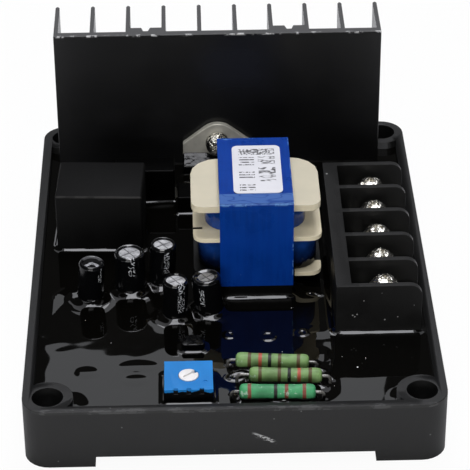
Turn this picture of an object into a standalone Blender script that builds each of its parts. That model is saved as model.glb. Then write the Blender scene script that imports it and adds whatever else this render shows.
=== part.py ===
# Potted automatic voltage regulator for a small brush generator, modelled in metres with +Z up.
# The origin is at the middle of the tray's underside. The terminals are on the right, the heatsink at the back.
import math

import bpy
import bmesh

# Layout. Across the tray, the relay, the transformer and the terminal block leave some room free, and each gap
# is a share of it. Along the tray, the core and the block take their places between what is behind and before them.
relayLeftShare = 0.1916
transformerBlockShare = 0.1317
blockRightShare = 0.0719
coreFrontShare = 0.4815
blockBackShare = 0.5313
smallTransistorShare = 0.496

# Tray
trayWidth = 0.083
trayLength = 0.110
trayHeight = 0.0135
trayWall = 0.0019
trayFloor = 0.0018
trayEdgeBevel = 0.0004
footHeight = 0.0025
footLength = 0.014
bossRadius = 0.005
mountHoleRadius = 0.0031

# Fits between separate pieces
fitGap = 0.0001
seatGap = 0.0001

# Potting compound and circuit board
fillBelowRim = 0.0018
boardTopBelowFill = 0.0031
boardThickness = 0.0016
boardEdgeGap = 0.0011
moundRise = 0.00035

# Heatsink, a vertical extrusion with its fins to the back
heatsinkHeight = 0.0395
heatsinkDepth = 0.0146
heatsinkBackInset = 0.0001
heatsinkLeftGap = 0.00205
heatsinkRightGap = 0.00465
heatsinkFloorGap = 0.0010
heatsinkPlate = 0.0020
finCount = 10
finThickness = 0.0009
finRimGap = 0.0020
ridgeThickness = 0.0018
ridgeBays = (2, 6)
grooveMouth = 0.0019
grooveFloor = 0.0010
grooveDepth = 0.0016

# Power thyristor on the heatsink's front face
thyristorOffset = -0.0003
thyristorWidth = 0.0157
thyristorHoleAboveFill = 0.0065
tabThickness = 0.0015
tabTopRadius = 0.0046
tabCornerBelowHole = 0.0004
moldThickness = 0.0031
moldShoulderBelowHole = 0.0025
moldShoulderDrop = 0.0020
moldDepthInFill = 0.0047
moldRecessRadius = 0.0034
clampScrewRadius = 0.0015
clampHeadRadius = 0.0026
clampHeadHeight = 0.0019
washerThickness = 0.0005

# Relay
relayWidth = 0.0184
relayLength = 0.0147
relayTopAboveFill = 0.0134
relayDepthInFill = 0.0022
relayCaseWall = 0.0008
relayBevel = 0.0004
relayBehindGap = 0.0209
relayTurn = -2.6
relayBaseHeight = 0.0016

# Box capacitor and bridge rectifier, both low behind the relay and the transformer
boxCapacitorLength = 0.013
boxCapacitorWidth = 0.006
boxCapacitorTopAboveFill = 0.0082
boxCapacitorBehindGap = 0.0106
boxCapacitorPastRelay = 0.0066
rectifierLength = 0.0082
rectifierWidth = 0.0064
rectifierTopAboveFill = 0.0042
rectifierBehindGap = 0.0151
rectifierSideGap = 0.0006
smallBevel = 0.0003

# Transformer: laminated core, three-flange bobbin, two windings, core tape and label
coreStack = 0.0147
coreLength = 0.0265
coreLeg = 0.0034
coreTopYoke = 0.0024
coreTopAboveFill = 0.0228
coreDepthInFill = 0.0006
bobbinWall = 0.0008
bobbinBoreGap = 0.00015
flangeThickness = 0.0010
topFlangeThickness = 0.0015
flangeWidth = 0.0267
flangeSideGap = 0.0002
flangeBackRadius = 0.0060
flangeFrontRadius = 0.0024
middleFlangeShare = 0.495
lowerFlangeShift = 0.00035
flangeSlotWidth = 0.0005
flangeSlotLength = 0.0019
flangeSlotForward = 0.0054
primaryBuildX = 0.0041
primaryRightShift = 0.0004
primaryWindowFill = 0.8
secondaryBuildX = 0.0022
secondaryWindowFill = 0.473
windingRadius = 0.0048
windingRadiusPerBuild = 3.0
tapeThickness = 0.00015
tapeOverhang = 0.0002
tapeStopAboveFill = 0.0032
tapeCornerRadius = 0.00025
labelWidth = 0.0101
labelLength = 0.0191
labelThickness = 0.00012
labelCornerRadius = 0.0012
labelRight = 0.0005
labelForward = 0.0002

# Terminal block with five cells
cellCount = 5
cellPitch = 0.00946
dividerThickness = 0.0013
blockWidth = 0.0174
blockTopAboveFill = 0.0113
cellFloorAboveFill = 0.0051
railWidth = 0.0031
dividerCornerRadius = 0.0025
terminalPlateLength = 0.0118
terminalPlateWidth = 0.0068
terminalPlateThickness = 0.0007
terminalPlateInset = 0.0004
clampPlateSize = 0.0061
clampPlateThickness = 0.0006
clampArchRise = 0.0010
clampTopWidth = 0.0030
clampFootOverhang = 0.0004
terminalScrewRadius = 0.0017
terminalHeadRadius = 0.0025
terminalHeadHeight = 0.0022
screwCollarRadius = 0.0021
screwCollarHeight = 0.00045
terminalScrewLength = 0.0062
screwHoleGap = 0.00015
screwTurnStep = 25
driveSlotWidth = 0.0007
driveSlotDepth = 0.0009
driveSlotPerRadius = 2.4
crossSlotPerRadius = 1.2

# Electrolytic capacitors, in a back row that ends at the bobbin and a front row that ends at the core's middle:
# centre behind the core's front, radius, height, lean in degrees. The shares are of the room that a row's cans
# leave free, to the left of each one.
capacitorBackRow = (
    (0.0012, 0.00270, 0.0088, 3.9),
    (0.0045, 0.00320, 0.0090, 0.0),
    (0.0066, 0.00275, 0.0095, 2.6),
)
capacitorFrontRow = (
    (-0.0057, 0.00260, 0.0087, 2.0),
    (-0.0042, 0.00300, 0.0084, -4.2),
)
capacitorBackShares = (0.5390, 0.1659, 0.0449)
capacitorFrontShares = (0.7504, 0.0443)
capacitorPocketGap = 0.00015
sleeveThickness = 0.0002
sleeveLip = 0.0007
canShoulder = 0.0005
ventWidth = 0.0003
ventLengthPerRadius = 1.2
ventDepth = 0.00015

# Trimmer
trimmerSize = 0.00953
trimmerX = -0.0090
trimmerFrontGap = 0.0026
trimmerTopAboveFill = 0.0033
trimmerHeight = 0.0048
rotorRadius = 0.00195
rotorRise = 0.00025
rotorDepth = 0.0016
rotorSlotWidth = 0.00045
rotorSlotDepth = 0.0007
rotorNotchWidth = 0.0010
rotorSlotAngle = 38.0
trimmerNotchWidth = 0.0009
trimmerNotchDepth = 0.0006
trimmerNotchHeight = 0.0011
trimmerPinPitch = 0.00254
trimmerDotRadius = 0.00045
trimmerDotDepth = 0.00015
trimmerDotRight = 0.00324
trimmerDotForward = 0.0021

# Small transistor with a flat front
smallTransistorX = -0.0080
smallTransistorRadius = 0.0024
smallTransistorFlat = 0.0013
smallTransistorTopAboveFill = 0.0017
smallTransistorBevel = 0.0004

# Power resistors: centre X, centre behind the front wall, body length, turn in degrees, left lead's reach
resistorPlaces = (
    (0.00768, 0.01360, 0.0146, -4.9, 0.0016),
    (0.01008, 0.00875, 0.0144, -3.5, 0.0024),
    (0.00827, 0.00340, 0.0149, -2.3, 0.0016),
)
resistorRadius = 0.00155
resistorEndRadius = 0.00168
resistorFaceRadius = 0.00128
resistorEndRound = 0.0006
resistorCapShare = 0.14
resistorAxisAboveFill = 0.0018
resistorBore = 0.00048
leadRadius = 0.00034
leadRightReach = 0.0016
leadBend = 0.0008

# Low mounds in the compound over parts that it just covers: X, behind the front wall, length, width
moundPlaces = (
    (-0.0292, 0.0147, 0.0048, 0.0022),
    (-0.0189, 0.0159, 0.0070, 0.0026),
    (-0.0194, 0.0116, 0.0056, 0.0020),
    (-0.0007, 0.0257, 0.0024, 0.0024),
    (0.0072, 0.0246, 0.0026, 0.0026),
    (0.0144, 0.0259, 0.0022, 0.0022),
)

# Places that follow from the sizes
innerHalfWidth = trayWidth / 2 - trayWall
innerHalfLength = trayLength / 2 - trayWall
frontWallY = -innerHalfLength
floorTop = footHeight + trayFloor
fillLevel = trayHeight - fillBelowRim
boardTop = fillLevel - boardTopBelowFill
boardBottom = boardTop - boardThickness
componentBase = boardTop + seatGap
bossX = trayWidth / 2 - bossRadius
bossY = trayLength / 2 - bossRadius
heatsinkFrontY = trayLength / 2 - heatsinkBackInset - heatsinkDepth
heatsinkLeft = -innerHalfWidth + heatsinkLeftGap
heatsinkRight = innerHalfWidth - heatsinkRightGap
heatsinkX = (heatsinkLeft + heatsinkRight) / 2
rowFree = 2 * innerHalfWidth - relayWidth - flangeWidth - blockWidth
relayLeft = -innerHalfWidth + relayLeftShare * rowFree
relayRight = relayLeft + relayWidth
blockRight = innerHalfWidth - blockRightShare * rowFree
blockLeft = blockRight - blockWidth
transformerX = blockLeft - transformerBlockShare * rowFree - flangeWidth / 2
blockLength = cellCount * cellPitch + dividerThickness
blockBack = heatsinkFrontY - (heatsinkFrontY + bossY - bossRadius - blockLength) * blockBackShare
trimmerFront = frontWallY + trimmerFrontGap
trimmerBack = trimmerFront + trimmerSize
coreTop = fillLevel + coreTopAboveFill
coreBottom = fillLevel - coreDepthInFill
coreFront = trimmerBack + (heatsinkFrontY - trimmerBack - coreLength) * coreFrontShare
coreY = coreFront + coreLength / 2

partCollection = bpy.data.collections.new("automatic_voltage_regulator")
cutterCollection = bpy.data.collections.new("cutters")
materials = {}


def clearScene():
    for oldObject in list(bpy.data.objects):
        bpy.data.objects.remove(oldObject, do_unlink=True)
    for collection in (partCollection, cutterCollection):
        bpy.context.scene.collection.children.link(collection)


def makeMaterial(name, color, roughness, metallic=0.0):
    material = bpy.data.materials.new(name)
    material.use_nodes = True
    shader = material.node_tree.nodes["Principled BSDF"]
    shader.inputs["Base Color"].default_value = (*color, 1.0)
    shader.inputs["Roughness"].default_value = roughness
    shader.inputs["Metallic"].default_value = metallic
    materials[name] = material


def makeMaterials():
    makeMaterial("tray_plastic", (0.030, 0.030, 0.032), 0.55)
    makeMaterial("potting", (0.004, 0.004, 0.004), 0.05)
    makeMaterial("board_laminate", (0.05, 0.16, 0.06), 0.5)
    makeMaterial("black_anodising", (0.012, 0.012, 0.012), 0.35, 0.3)
    makeMaterial("tinned_metal", (0.62, 0.60, 0.55), 0.25, 1.0)
    makeMaterial("black_epoxy", (0.010, 0.010, 0.011), 0.2)
    makeMaterial("relay_plastic", (0.020, 0.020, 0.021), 0.4)
    makeMaterial("core_steel", (0.05, 0.05, 0.055), 0.5, 0.8)
    makeMaterial("bobbin_nylon", (0.72, 0.64, 0.50), 0.45)
    makeMaterial("winding_tape", (0.006, 0.035, 0.20), 0.25)
    makeMaterial("core_tape", (0.008, 0.06, 0.33), 0.3)
    makeMaterial("label_paper", (0.85, 0.85, 0.88), 0.5)
    makeMaterial("block_plastic", (0.020, 0.020, 0.021), 0.5)
    makeMaterial("plated_steel", (0.75, 0.73, 0.68), 0.2, 1.0)
    makeMaterial("can_aluminium", (0.75, 0.75, 0.76), 0.3, 1.0)
    makeMaterial("sleeve_film", (0.006, 0.007, 0.008), 0.15)
    makeMaterial("trimmer_blue", (0.03, 0.26, 0.85), 0.35)
    makeMaterial("rotor_white", (0.85, 0.84, 0.80), 0.4)
    makeMaterial("resistor_olive", (0.21, 0.36, 0.09), 0.4)
    makeMaterial("resistor_green", (0.03, 0.30, 0.11), 0.35)


def addObject(name, mesh, location=(0, 0, 0), material=None):
    newObject = bpy.data.objects.new(name, mesh)
    newObject.location = location
    if material is None:
        cutterCollection.objects.link(newObject)
        newObject.hide_render = True
        newObject.display_type = "WIRE"
    else:
        partCollection.objects.link(newObject)
        mesh.materials.clear()
        mesh.materials.append(materials[material])
    return newObject


def smoothByAngle(mesh, degrees=35):
    mesh.shade_smooth()
    mesh.set_sharp_from_angle(angle=math.radians(degrees))


def makeBox(name, size, location, material=None):
    # The location is the middle of the box's underside
    mesh = bpy.data.meshes.new(name)
    shape = bmesh.new()
    bmesh.ops.create_cube(shape, size=1.0)
    bmesh.ops.scale(shape, vec=size, verts=shape.verts)
    bmesh.ops.translate(shape, vec=(0, 0, size[2] / 2), verts=shape.verts)
    shape.to_mesh(mesh)
    shape.free()
    return addObject(name, mesh, location, material)


def makeCylinder(name, radius, height, location, segments=24, material=None):
    mesh = bpy.data.meshes.new(name)
    shape = bmesh.new()
    bmesh.ops.create_cone(
        shape, cap_ends=True, segments=segments, radius1=radius, radius2=radius, depth=height
    )
    bmesh.ops.translate(shape, vec=(0, 0, height / 2), verts=shape.verts)
    shape.to_mesh(mesh)
    shape.free()
    smoothByAngle(mesh)
    return addObject(name, mesh, location, material)


def curveToObject(name, curve, location, material):
    # A curve's caps are loose, so the mesh read from it is welded
    source = bpy.data.objects.new(name + "_curve", curve)
    bpy.context.scene.collection.objects.link(source)
    dependencies = bpy.context.evaluated_depsgraph_get()
    mesh = bpy.data.meshes.new_from_object(source.evaluated_get(dependencies))
    bpy.data.objects.remove(source, do_unlink=True)
    mesh.name = name
    shape = bmesh.new()
    shape.from_mesh(mesh)
    bmesh.ops.remove_doubles(shape, verts=shape.verts, dist=0.000005)
    bmesh.ops.recalc_face_normals(shape, faces=shape.faces)
    shape.to_mesh(mesh)
    shape.free()
    smoothByAngle(mesh)
    return addObject(name, mesh, location, material)


def makeOutline(name, loops, height, location, material=None):
    # Closed flat outlines in X and Y, the first outside and the rest holes, raised by height
    curve = bpy.data.curves.new(name, "CURVE")
    curve.dimensions = "2D"
    curve.fill_mode = "BOTH"
    curve.extrude = height / 2
    for points in loops:
        spline = curve.splines.new("POLY")
        spline.points.add(len(points) - 1)
        for splinePoint, (x, y) in zip(spline.points, points):
            splinePoint.co = (x, y, 0.0, 1.0)
        spline.use_cyclic_u = True
    outline = curveToObject(name, curve, location, material)
    for vertex in outline.data.vertices:
        vertex.co.z += height / 2
    return outline


def makeWire(name, points, radius, material=None, location=(0, 0, 0)):
    curve = bpy.data.curves.new(name, "CURVE")
    curve.dimensions = "3D"
    curve.bevel_depth = radius
    curve.bevel_resolution = 2
    curve.use_fill_caps = True
    spline = curve.splines.new("POLY")
    spline.points.add(len(points) - 1)
    for splinePoint, point in zip(spline.points, points):
        splinePoint.co = (*point, 1.0)
    return curveToObject(name, curve, location, material)


def makeTurned(name, profile, location, material, steps=20, closed=False):
    # The profile is (radius, height) points, down the outer side from top to bottom
    mesh = bpy.data.meshes.new(name)
    edges = [(i, i + 1) for i in range(len(profile) - 1)]
    if closed:
        edges.append((len(profile) - 1, 0))
    mesh.from_pydata([(radius, 0.0, height) for radius, height in profile], edges, [])
    turned = addObject(name, mesh, location, material)
    screw = turned.modifiers.new("turn", "SCREW")
    screw.steps = steps
    screw.render_steps = steps
    screw.use_merge_vertices = True
    screw.merge_threshold = 0.000005
    screw.use_smooth_shade = False
    return turned


def cut(target, cutter, operation="DIFFERENCE"):
    boolean = target.modifiers.new(cutter.name, "BOOLEAN")
    boolean.operation = operation
    boolean.solver = "EXACT"
    boolean.object = cutter


def bevel(target, width, segments=2, degrees=40):
    edges = target.modifiers.new("edge", "BEVEL")
    edges.width = width
    edges.segments = segments
    edges.limit_method = "ANGLE"
    edges.angle_limit = math.radians(degrees)


def arc(centre, radius, start, end, steps):
    # Points on an arc, angles in degrees
    angles = [math.radians(start + (end - start) * i / steps) for i in range(steps + 1)]
    return [(centre[0] + radius * math.cos(a), centre[1] + radius * math.sin(a)) for a in angles]


def roundedRectangle(width, length, radii, steps=6):
    # Corner radii run from the back right corner anticlockwise: back right, back left, front left, front right
    points = []
    for i, radius in enumerate(radii):
        sideX = 1 if i in (0, 3) else -1
        sideY = 1 if i in (0, 1) else -1
        centre = (sideX * (width / 2 - radius), sideY * (length / 2 - radius))
        points += arc(centre, radius, 90 * i, 90 * i + 90, steps)
    return points


def rectangle(width, length):
    return [(width / 2, length / 2), (-width / 2, length / 2), (-width / 2, -length / 2), (width / 2, -length / 2)]


def buildTray():
    outline = roundedRectangle(trayWidth, trayLength, [bossRadius] * 4, 7)
    tray = makeOutline("potting_tray", [outline], trayHeight, (0, 0, 0), "tray_plastic")
    bevel(tray, trayEdgeBevel, 1, 60)
    past = trayWidth
    for name, width, length in (
        ("tray_channel_y", trayWidth - 2 * footLength, trayLength + past),
        ("tray_channel_x", trayWidth + past, trayLength - 2 * footLength),
    ):
        channel = makeBox(name, (width, length, footHeight * 2), (0, 0, -footHeight))
        cut(tray, channel)
    cut(tray, makeCavity("tray_cavity", floorTop, 0.0, trayHeight))
    for sideX in (-1, 1):
        for sideY in (-1, 1):
            name = "mount_hole_%d_%d" % (sideX, sideY)
            place = (sideX * bossX, sideY * bossY, -trayHeight / 2)
            cut(tray, makeCylinder(name, mountHoleRadius, trayHeight * 2, place, 24))
    return tray


def makeCavity(name, bottom, gap, height, material=None):
    # The space inside the walls and round the four screw bosses, with a gap all round
    outline = roundedRectangle(
        2 * (innerHalfWidth - gap), 2 * (innerHalfLength - gap), [bossRadius - trayWall] * 4, 4
    )
    cavity = makeOutline(name, [outline], height, (0, 0, bottom), material)
    for sideX in (-1, 1):
        for sideY in (-1, 1):
            bossName = "%s_boss_%d_%d" % (name, sideX, sideY)
            place = (sideX * bossX, sideY * bossY, bottom - height / 2)
            cut(cavity, makeCylinder(bossName, bossRadius + gap, height * 2, place, 28))
    return cavity


def buildCompound(pockets):
    height = fillLevel - floorTop - seatGap
    compound = makeCavity("potting_compound", floorTop + seatGap, fitGap, height, "potting")
    for i, (x, behind, length, width) in enumerate(moundPlaces):
        mound = makeMound("mound_%d" % (i + 1), length, width, (x, frontWallY + behind, fillLevel))
        cut(compound, mound, "UNION")
    for pocket in pockets:
        cut(compound, pocket)
    return compound


def makeMound(name, length, width, location):
    mesh = bpy.data.meshes.new(name)
    shape = bmesh.new()
    bmesh.ops.create_uvsphere(shape, u_segments=10, v_segments=4, radius=1.0)
    bmesh.ops.scale(shape, vec=(length / 2, width / 2, moundRise), verts=shape.verts)
    shape.to_mesh(mesh)
    shape.free()
    return addObject(name, mesh, location)


def boxPocket(name, size, location, turn=0.0):
    # Room in the compound for a box that reaches down from above the fill
    gapped = (size[0] + 2 * fitGap, size[1] + 2 * fitGap, size[2] + 2 * fitGap)
    pocket = makeBox(name + "_pocket", gapped, (location[0], location[1], location[2] - fitGap))
    pocket.rotation_euler[2] = math.radians(turn)
    return pocket


def buildBoard(backY):
    width = 2 * (innerHalfWidth - boardEdgeGap)
    front = frontWallY + boardEdgeGap
    size = (width, backY - front, boardThickness)
    place = (0, (backY + front) / 2, boardBottom)
    board = makeBox("circuit_board", size, place, "board_laminate")
    for sideX in (-1, 1):
        corner = (sideX * bossX, -bossY, boardBottom - boardThickness)
        name = "board_corner_%d" % sideX
        cut(board, makeCylinder(name, bossRadius + boardEdgeGap, boardThickness * 3, corner, 16))
    return [boxPocket("circuit_board", size, place)]


def heatsinkOutline(width):
    # One walk round the comb: along the flat front, then out and back along each fin from the right
    plateBack = heatsinkPlate
    finRadius = finThickness / 2
    pitch = (width - finThickness) / (finCount - 1)
    points = [(-width / 2, 0.0), (width / 2, 0.0)]
    for i in range(finCount - 1, -1, -1):
        finX = -width / 2 + finRadius + i * pitch
        if i < finCount - 1:
            points.append((finX + finRadius, plateBack + ridgeThickness * (i in ridgeBays)))
        points += arc((finX, heatsinkDepth - finRadius), finRadius, 0, 180, 3)
        bay = i - 1
        if i > 0:
            ridge = ridgeThickness * (bay in ridgeBays)
            points.append((finX - finRadius, plateBack + ridge))
            if bay in ridgeBays:
                middle = finX - pitch / 2
                ridgeTop = plateBack + ridgeThickness
                points += [
                    (middle + grooveMouth / 2, ridgeTop),
                    (middle + grooveFloor / 2, ridgeTop - grooveDepth),
                    (middle - grooveFloor / 2, ridgeTop - grooveDepth),
                    (middle - grooveMouth / 2, ridgeTop),
                ]
    return points


def buildHeatsink():
    width = heatsinkRight - heatsinkLeft
    bottom = floorTop + heatsinkFloorGap
    height = fillLevel + heatsinkAboveFill() - bottom
    place = (heatsinkX, heatsinkFrontY, bottom)
    heatsink = makeOutline("heatsink", [heatsinkOutline(width)], height, place, "black_anodising")
    # The fins stop above the tray's rim, and only the plate stands in the compound
    finStart = trayHeight + finRimGap - bottom
    finY = heatsinkFrontY + heatsinkPlate + heatsinkDepth / 2
    under = makeBox("fin_underside", (width * 1.2, heatsinkDepth, finStart * 2), (heatsinkX, finY, bottom - finStart))
    cut(heatsink, under)
    hole = makeCylinder("heatsink_screw_hole", clampScrewRadius + screwHoleGap, heatsinkDepth, (0, 0, 0), 16)
    hole.rotation_euler[0] = math.radians(90)
    hole.location = (thyristorX(), heatsinkFrontY + heatsinkDepth / 2, thyristorHoleZ())
    cut(heatsink, hole)
    plateSize = (width, heatsinkPlate, height)
    platePlace = (heatsinkX, heatsinkFrontY + heatsinkPlate / 2, bottom)
    return [boxPocket("heatsink", plateSize, platePlace)]


def heatsinkAboveFill():
    return heatsinkHeight - (fillLevel - floorTop - heatsinkFloorGap)


def thyristorX():
    return heatsinkX + thyristorOffset


def thyristorHoleZ():
    return fillLevel + thyristorHoleAboveFill


def standUp(standing, location):
    # Turns an outline drawn in X and Y to stand in X and Z, its height running towards the front
    standing.rotation_euler[0] = math.radians(90)
    standing.location = location


def tabOutline():
    # Round top about the screw hole, straight slopes to the corners, then down to the mould's foot
    half = thyristorWidth / 2
    corner = (half, -tabCornerBelowHole)
    reach = math.hypot(*corner)
    tangent = math.degrees(math.atan2(corner[1], corner[0]) + math.acos(tabTopRadius / reach))
    bottom = -(thyristorHoleAboveFill + moldDepthInFill)
    points = [(-half, bottom), (half, bottom), corner]
    points += arc((0, 0), tabTopRadius, tangent, 180 - tangent, 10)
    points.append((-half, -tabCornerBelowHole))
    return points


def buildThyristor():
    x = thyristorX()
    holeZ = thyristorHoleZ()
    tabBack = heatsinkFrontY - seatGap
    tab = makeOutline("thyristor_tab", [tabOutline()], tabThickness, (0, 0, 0), "tinned_metal")
    standUp(tab, (x, tabBack, holeZ))
    hole = makeCylinder("tab_hole", clampScrewRadius + screwHoleGap, tabThickness * 3, (0, 0, 0), 16)
    standUp(hole, (x, tabBack + tabThickness, holeZ))
    cut(tab, hole)

    moldBack = tabBack - tabThickness - seatGap
    bottom = fillLevel - moldDepthInFill
    shoulderBack = holeZ - moldShoulderBelowHole
    height = shoulderBack - bottom
    mold = makeBox(
        "thyristor_mold",
        (thyristorWidth, moldThickness, height),
        (x, moldBack - moldThickness / 2, bottom),
        "black_epoxy",
    )
    # The shoulder falls towards the front
    for vertex in mold.data.vertices:
        if vertex.co.z > height / 2 and vertex.co.y < 0:
            vertex.co.z -= moldShoulderDrop
    recess = makeCylinder("mold_recess", moldRecessRadius, moldThickness * 3, (0, 0, 0), 24)
    standUp(recess, (x, moldBack + moldThickness, holeZ))
    cut(mold, recess)
    bevel(mold, smallBevel, 2, 30)

    washerFront = tabBack - tabThickness - seatGap
    buildClampScrew(x, holeZ, washerFront)
    size = (thyristorWidth, heatsinkFrontY - (moldBack - moldThickness), height + fillLevel)
    middleY = (heatsinkFrontY + moldBack - moldThickness) / 2
    return [boxPocket("thyristor", size, (x, middleY, bottom))]


def buildClampScrew(x, z, seatY):
    washerHole = clampScrewRadius + screwHoleGap
    washerRadius = clampHeadRadius + seatGap
    washer = makeTurned(
        "thyristor_washer",
        [(washerRadius, 0.0), (washerRadius, -washerThickness), (washerHole, -washerThickness), (washerHole, 0.0)],
        (0, 0, 0), "plated_steel", 16, True,
    )
    standUp(washer, (x, seatY - washerThickness, z))
    washer.rotation_euler[0] = math.radians(90)
    headSeat = washerThickness + seatGap
    length = tabThickness + heatsinkPlate + washerThickness + 3 * seatGap
    screw = makeTurned(
        "thyristor_screw",
        screwProfile(clampHeadRadius, clampHeadHeight, clampScrewRadius, length),
        (0, 0, 0), "plated_steel", 16,
    )
    standUp(screw, (x, seatY - headSeat, z))
    for i, turn in enumerate((20, 110)):
        slotSize = (clampHeadRadius * crossSlotPerRadius, driveSlotWidth, clampHeadHeight)
        slot = makeBox("thyristor_drive_%d" % i, slotSize, (0, 0, 0))
        slot.rotation_euler = (math.radians(90), math.radians(turn), 0)
        slot.location = (x, seatY - headSeat - clampHeadHeight + driveSlotDepth, z)
        cut(screw, slot)


def screwProfile(headRadius, headHeight, shankRadius, shankLength, collarRadius=0.0, collarHeight=0.0):
    # Domed pan head, over a washer collar if there is one, on a plain shank whose top is at height zero
    edge = headRadius * 0.18
    collar = [(collarRadius, collarHeight), (collarRadius, 0.0)] if collarHeight > 0.0 else []
    return [
        (0.0, collarHeight + headHeight),
        (headRadius - 3 * edge, collarHeight + headHeight * 0.95),
        (headRadius - edge, collarHeight + headHeight * 0.72),
        (headRadius, collarHeight + headHeight * 0.40),
        (headRadius, collarHeight),
        *collar,
        (shankRadius, 0.0),
        (shankRadius, -shankLength + shankRadius / 2),
        (shankRadius / 2, -shankLength),
        (0.0, -shankLength),
    ]


def buildRelay():
    x = relayLeft + relayWidth / 2
    y = heatsinkFrontY - relayBehindGap - relayLength / 2
    bottom = fillLevel - relayDepthInFill
    height = relayDepthInFill + relayTopAboveFill
    size = (relayWidth, relayLength, height)
    case = makeBox("relay_case", size, (x, y, bottom), "relay_plastic")
    case.rotation_euler[2] = math.radians(relayTurn)
    bevel(case, relayBevel)
    inside = (relayWidth - 2 * relayCaseWall, relayLength - 2 * relayCaseWall, height * 2)
    hollow = makeBox("relay_hollow", inside, (x, y, bottom + height - relayCaseWall - height * 2))
    hollow.rotation_euler[2] = math.radians(relayTurn)
    cut(case, hollow)
    baseSize = (inside[0] - 2 * fitGap, inside[1] - 2 * fitGap, relayBaseHeight)
    base = makeBox("relay_base", baseSize, (x, y, bottom), "relay_plastic")
    base.rotation_euler[2] = math.radians(relayTurn)
    return [boxPocket("relay", size, (x, y, bottom), relayTurn)]


def buildBlackBoxes():
    capacitorRight = relayRight + boxCapacitorPastRelay
    pockets = []
    for name, right, length, width, top, behind in (
        ("box_capacitor", capacitorRight, boxCapacitorLength, boxCapacitorWidth,
         boxCapacitorTopAboveFill, boxCapacitorBehindGap),
        ("bridge_rectifier", capacitorRight + rectifierSideGap + rectifierLength, rectifierLength,
         rectifierWidth, rectifierTopAboveFill, rectifierBehindGap),
    ):
        size = (length, width, fillLevel + top - componentBase)
        place = (right - length / 2, heatsinkFrontY - behind - width / 2, componentBase)
        bevel(makeBox(name, size, place, "black_epoxy"), smallBevel)
        pockets.append(boxPocket(name, size, place))
    return pockets


def buildTransformer():
    windowLow = coreBottom + coreLeg
    windowHigh = coreTop - coreTopYoke
    core = makeBox(
        "transformer_core",
        (coreStack, coreLength, coreTop - coreBottom),
        (transformerX, coreY, coreBottom),
        "core_steel",
    )
    windowWidth = coreLength / 2 - 2 * coreLeg
    for side in (-1, 1):
        windowY = coreY + side * (coreLeg + windowWidth / 2)
        window = makeBox(
            "core_window_%d" % side,
            (coreStack * 2, windowWidth, windowHigh - windowLow),
            (transformerX, windowY, windowLow),
        )
        cut(core, window)

    tubeX, tubeY = buildBobbin(windowLow, windowHigh)
    middle = windowLow + (windowHigh - windowLow) * middleFlangeShare
    # Each winding fills a share of the room between the bobbin's tube and the core's outer legs
    windowRoom = coreLength / 2 - coreLeg - tubeY / 2
    buildWinding("primary_winding", tubeX, tubeY, primaryBuildX, primaryWindowFill * windowRoom,
                 primaryRightShift, windowLow + seatGap + flangeThickness, middle)
    buildWinding("secondary_winding", tubeX, tubeY, secondaryBuildX, secondaryWindowFill * windowRoom,
                 0.0, middle + flangeThickness, windowHigh - seatGap - topFlangeThickness)
    buildCoreTape()
    buildLabel()
    size = (coreStack, coreLength, coreTop - coreBottom)
    return [boxPocket("transformer", size, (transformerX, coreY, coreBottom))]


def buildBobbin(low, high):
    boreX = coreStack + 2 * bobbinBoreGap
    boreY = 2 * coreLeg + 2 * bobbinBoreGap
    tubeX = boreX + 2 * bobbinWall
    tubeY = boreY + 2 * bobbinWall
    height = high - low - 2 * seatGap
    bobbin = makeBox("bobbin", (tubeX, tubeY, height), (transformerX, coreY, low + seatGap), "bobbin_nylon")
    flangeLength = coreLength - 2 * coreLeg - 2 * flangeSideGap
    radii = [flangeBackRadius, flangeBackRadius, flangeFrontRadius, flangeFrontRadius]
    outline = roundedRectangle(flangeWidth, flangeLength, radii, 4)
    middle = low + (high - low) * middleFlangeShare
    for name, bottom, thickness, shift in (
        ("bottom_flange", low + seatGap, flangeThickness, lowerFlangeShift),
        ("middle_flange", middle, flangeThickness, lowerFlangeShift),
        ("top_flange", high - seatGap - topFlangeThickness, topFlangeThickness, 0.0),
    ):
        flange = makeOutline(name, [outline], thickness, (transformerX + shift, coreY, bottom))
        cut(bobbin, flange, "UNION")
    bore = makeBox("bobbin_bore", (boreX, boreY, height * 2), (transformerX, coreY, low - height / 2))
    cut(bobbin, bore)
    slotX = transformerX + lowerFlangeShift - flangeWidth / 2
    slot = makeBox(
        "flange_slot",
        (flangeSlotLength * 2, flangeSlotWidth, flangeThickness * 3),
        (slotX, coreY - flangeSlotForward, middle - flangeThickness),
    )
    cut(bobbin, slot)
    return tubeX, tubeY


def buildWinding(name, tubeX, tubeY, buildX, buildY, shift, low, high):
    # The corners' radius is kept from cutting into the winding's wall
    radius = min(windingRadius, windingRadiusPerBuild * min(buildX, buildY))
    outside = roundedRectangle(tubeX + 2 * buildX, tubeY + 2 * buildY, [radius] * 4, 6)
    outside = [(x + shift, y) for x, y in outside]
    inside = rectangle(tubeX + 2 * seatGap, tubeY + 2 * seatGap)
    height = high - low - 2 * seatGap
    makeOutline(name, [outside, inside], height, (transformerX, coreY, low + seatGap), "winding_tape")


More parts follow.
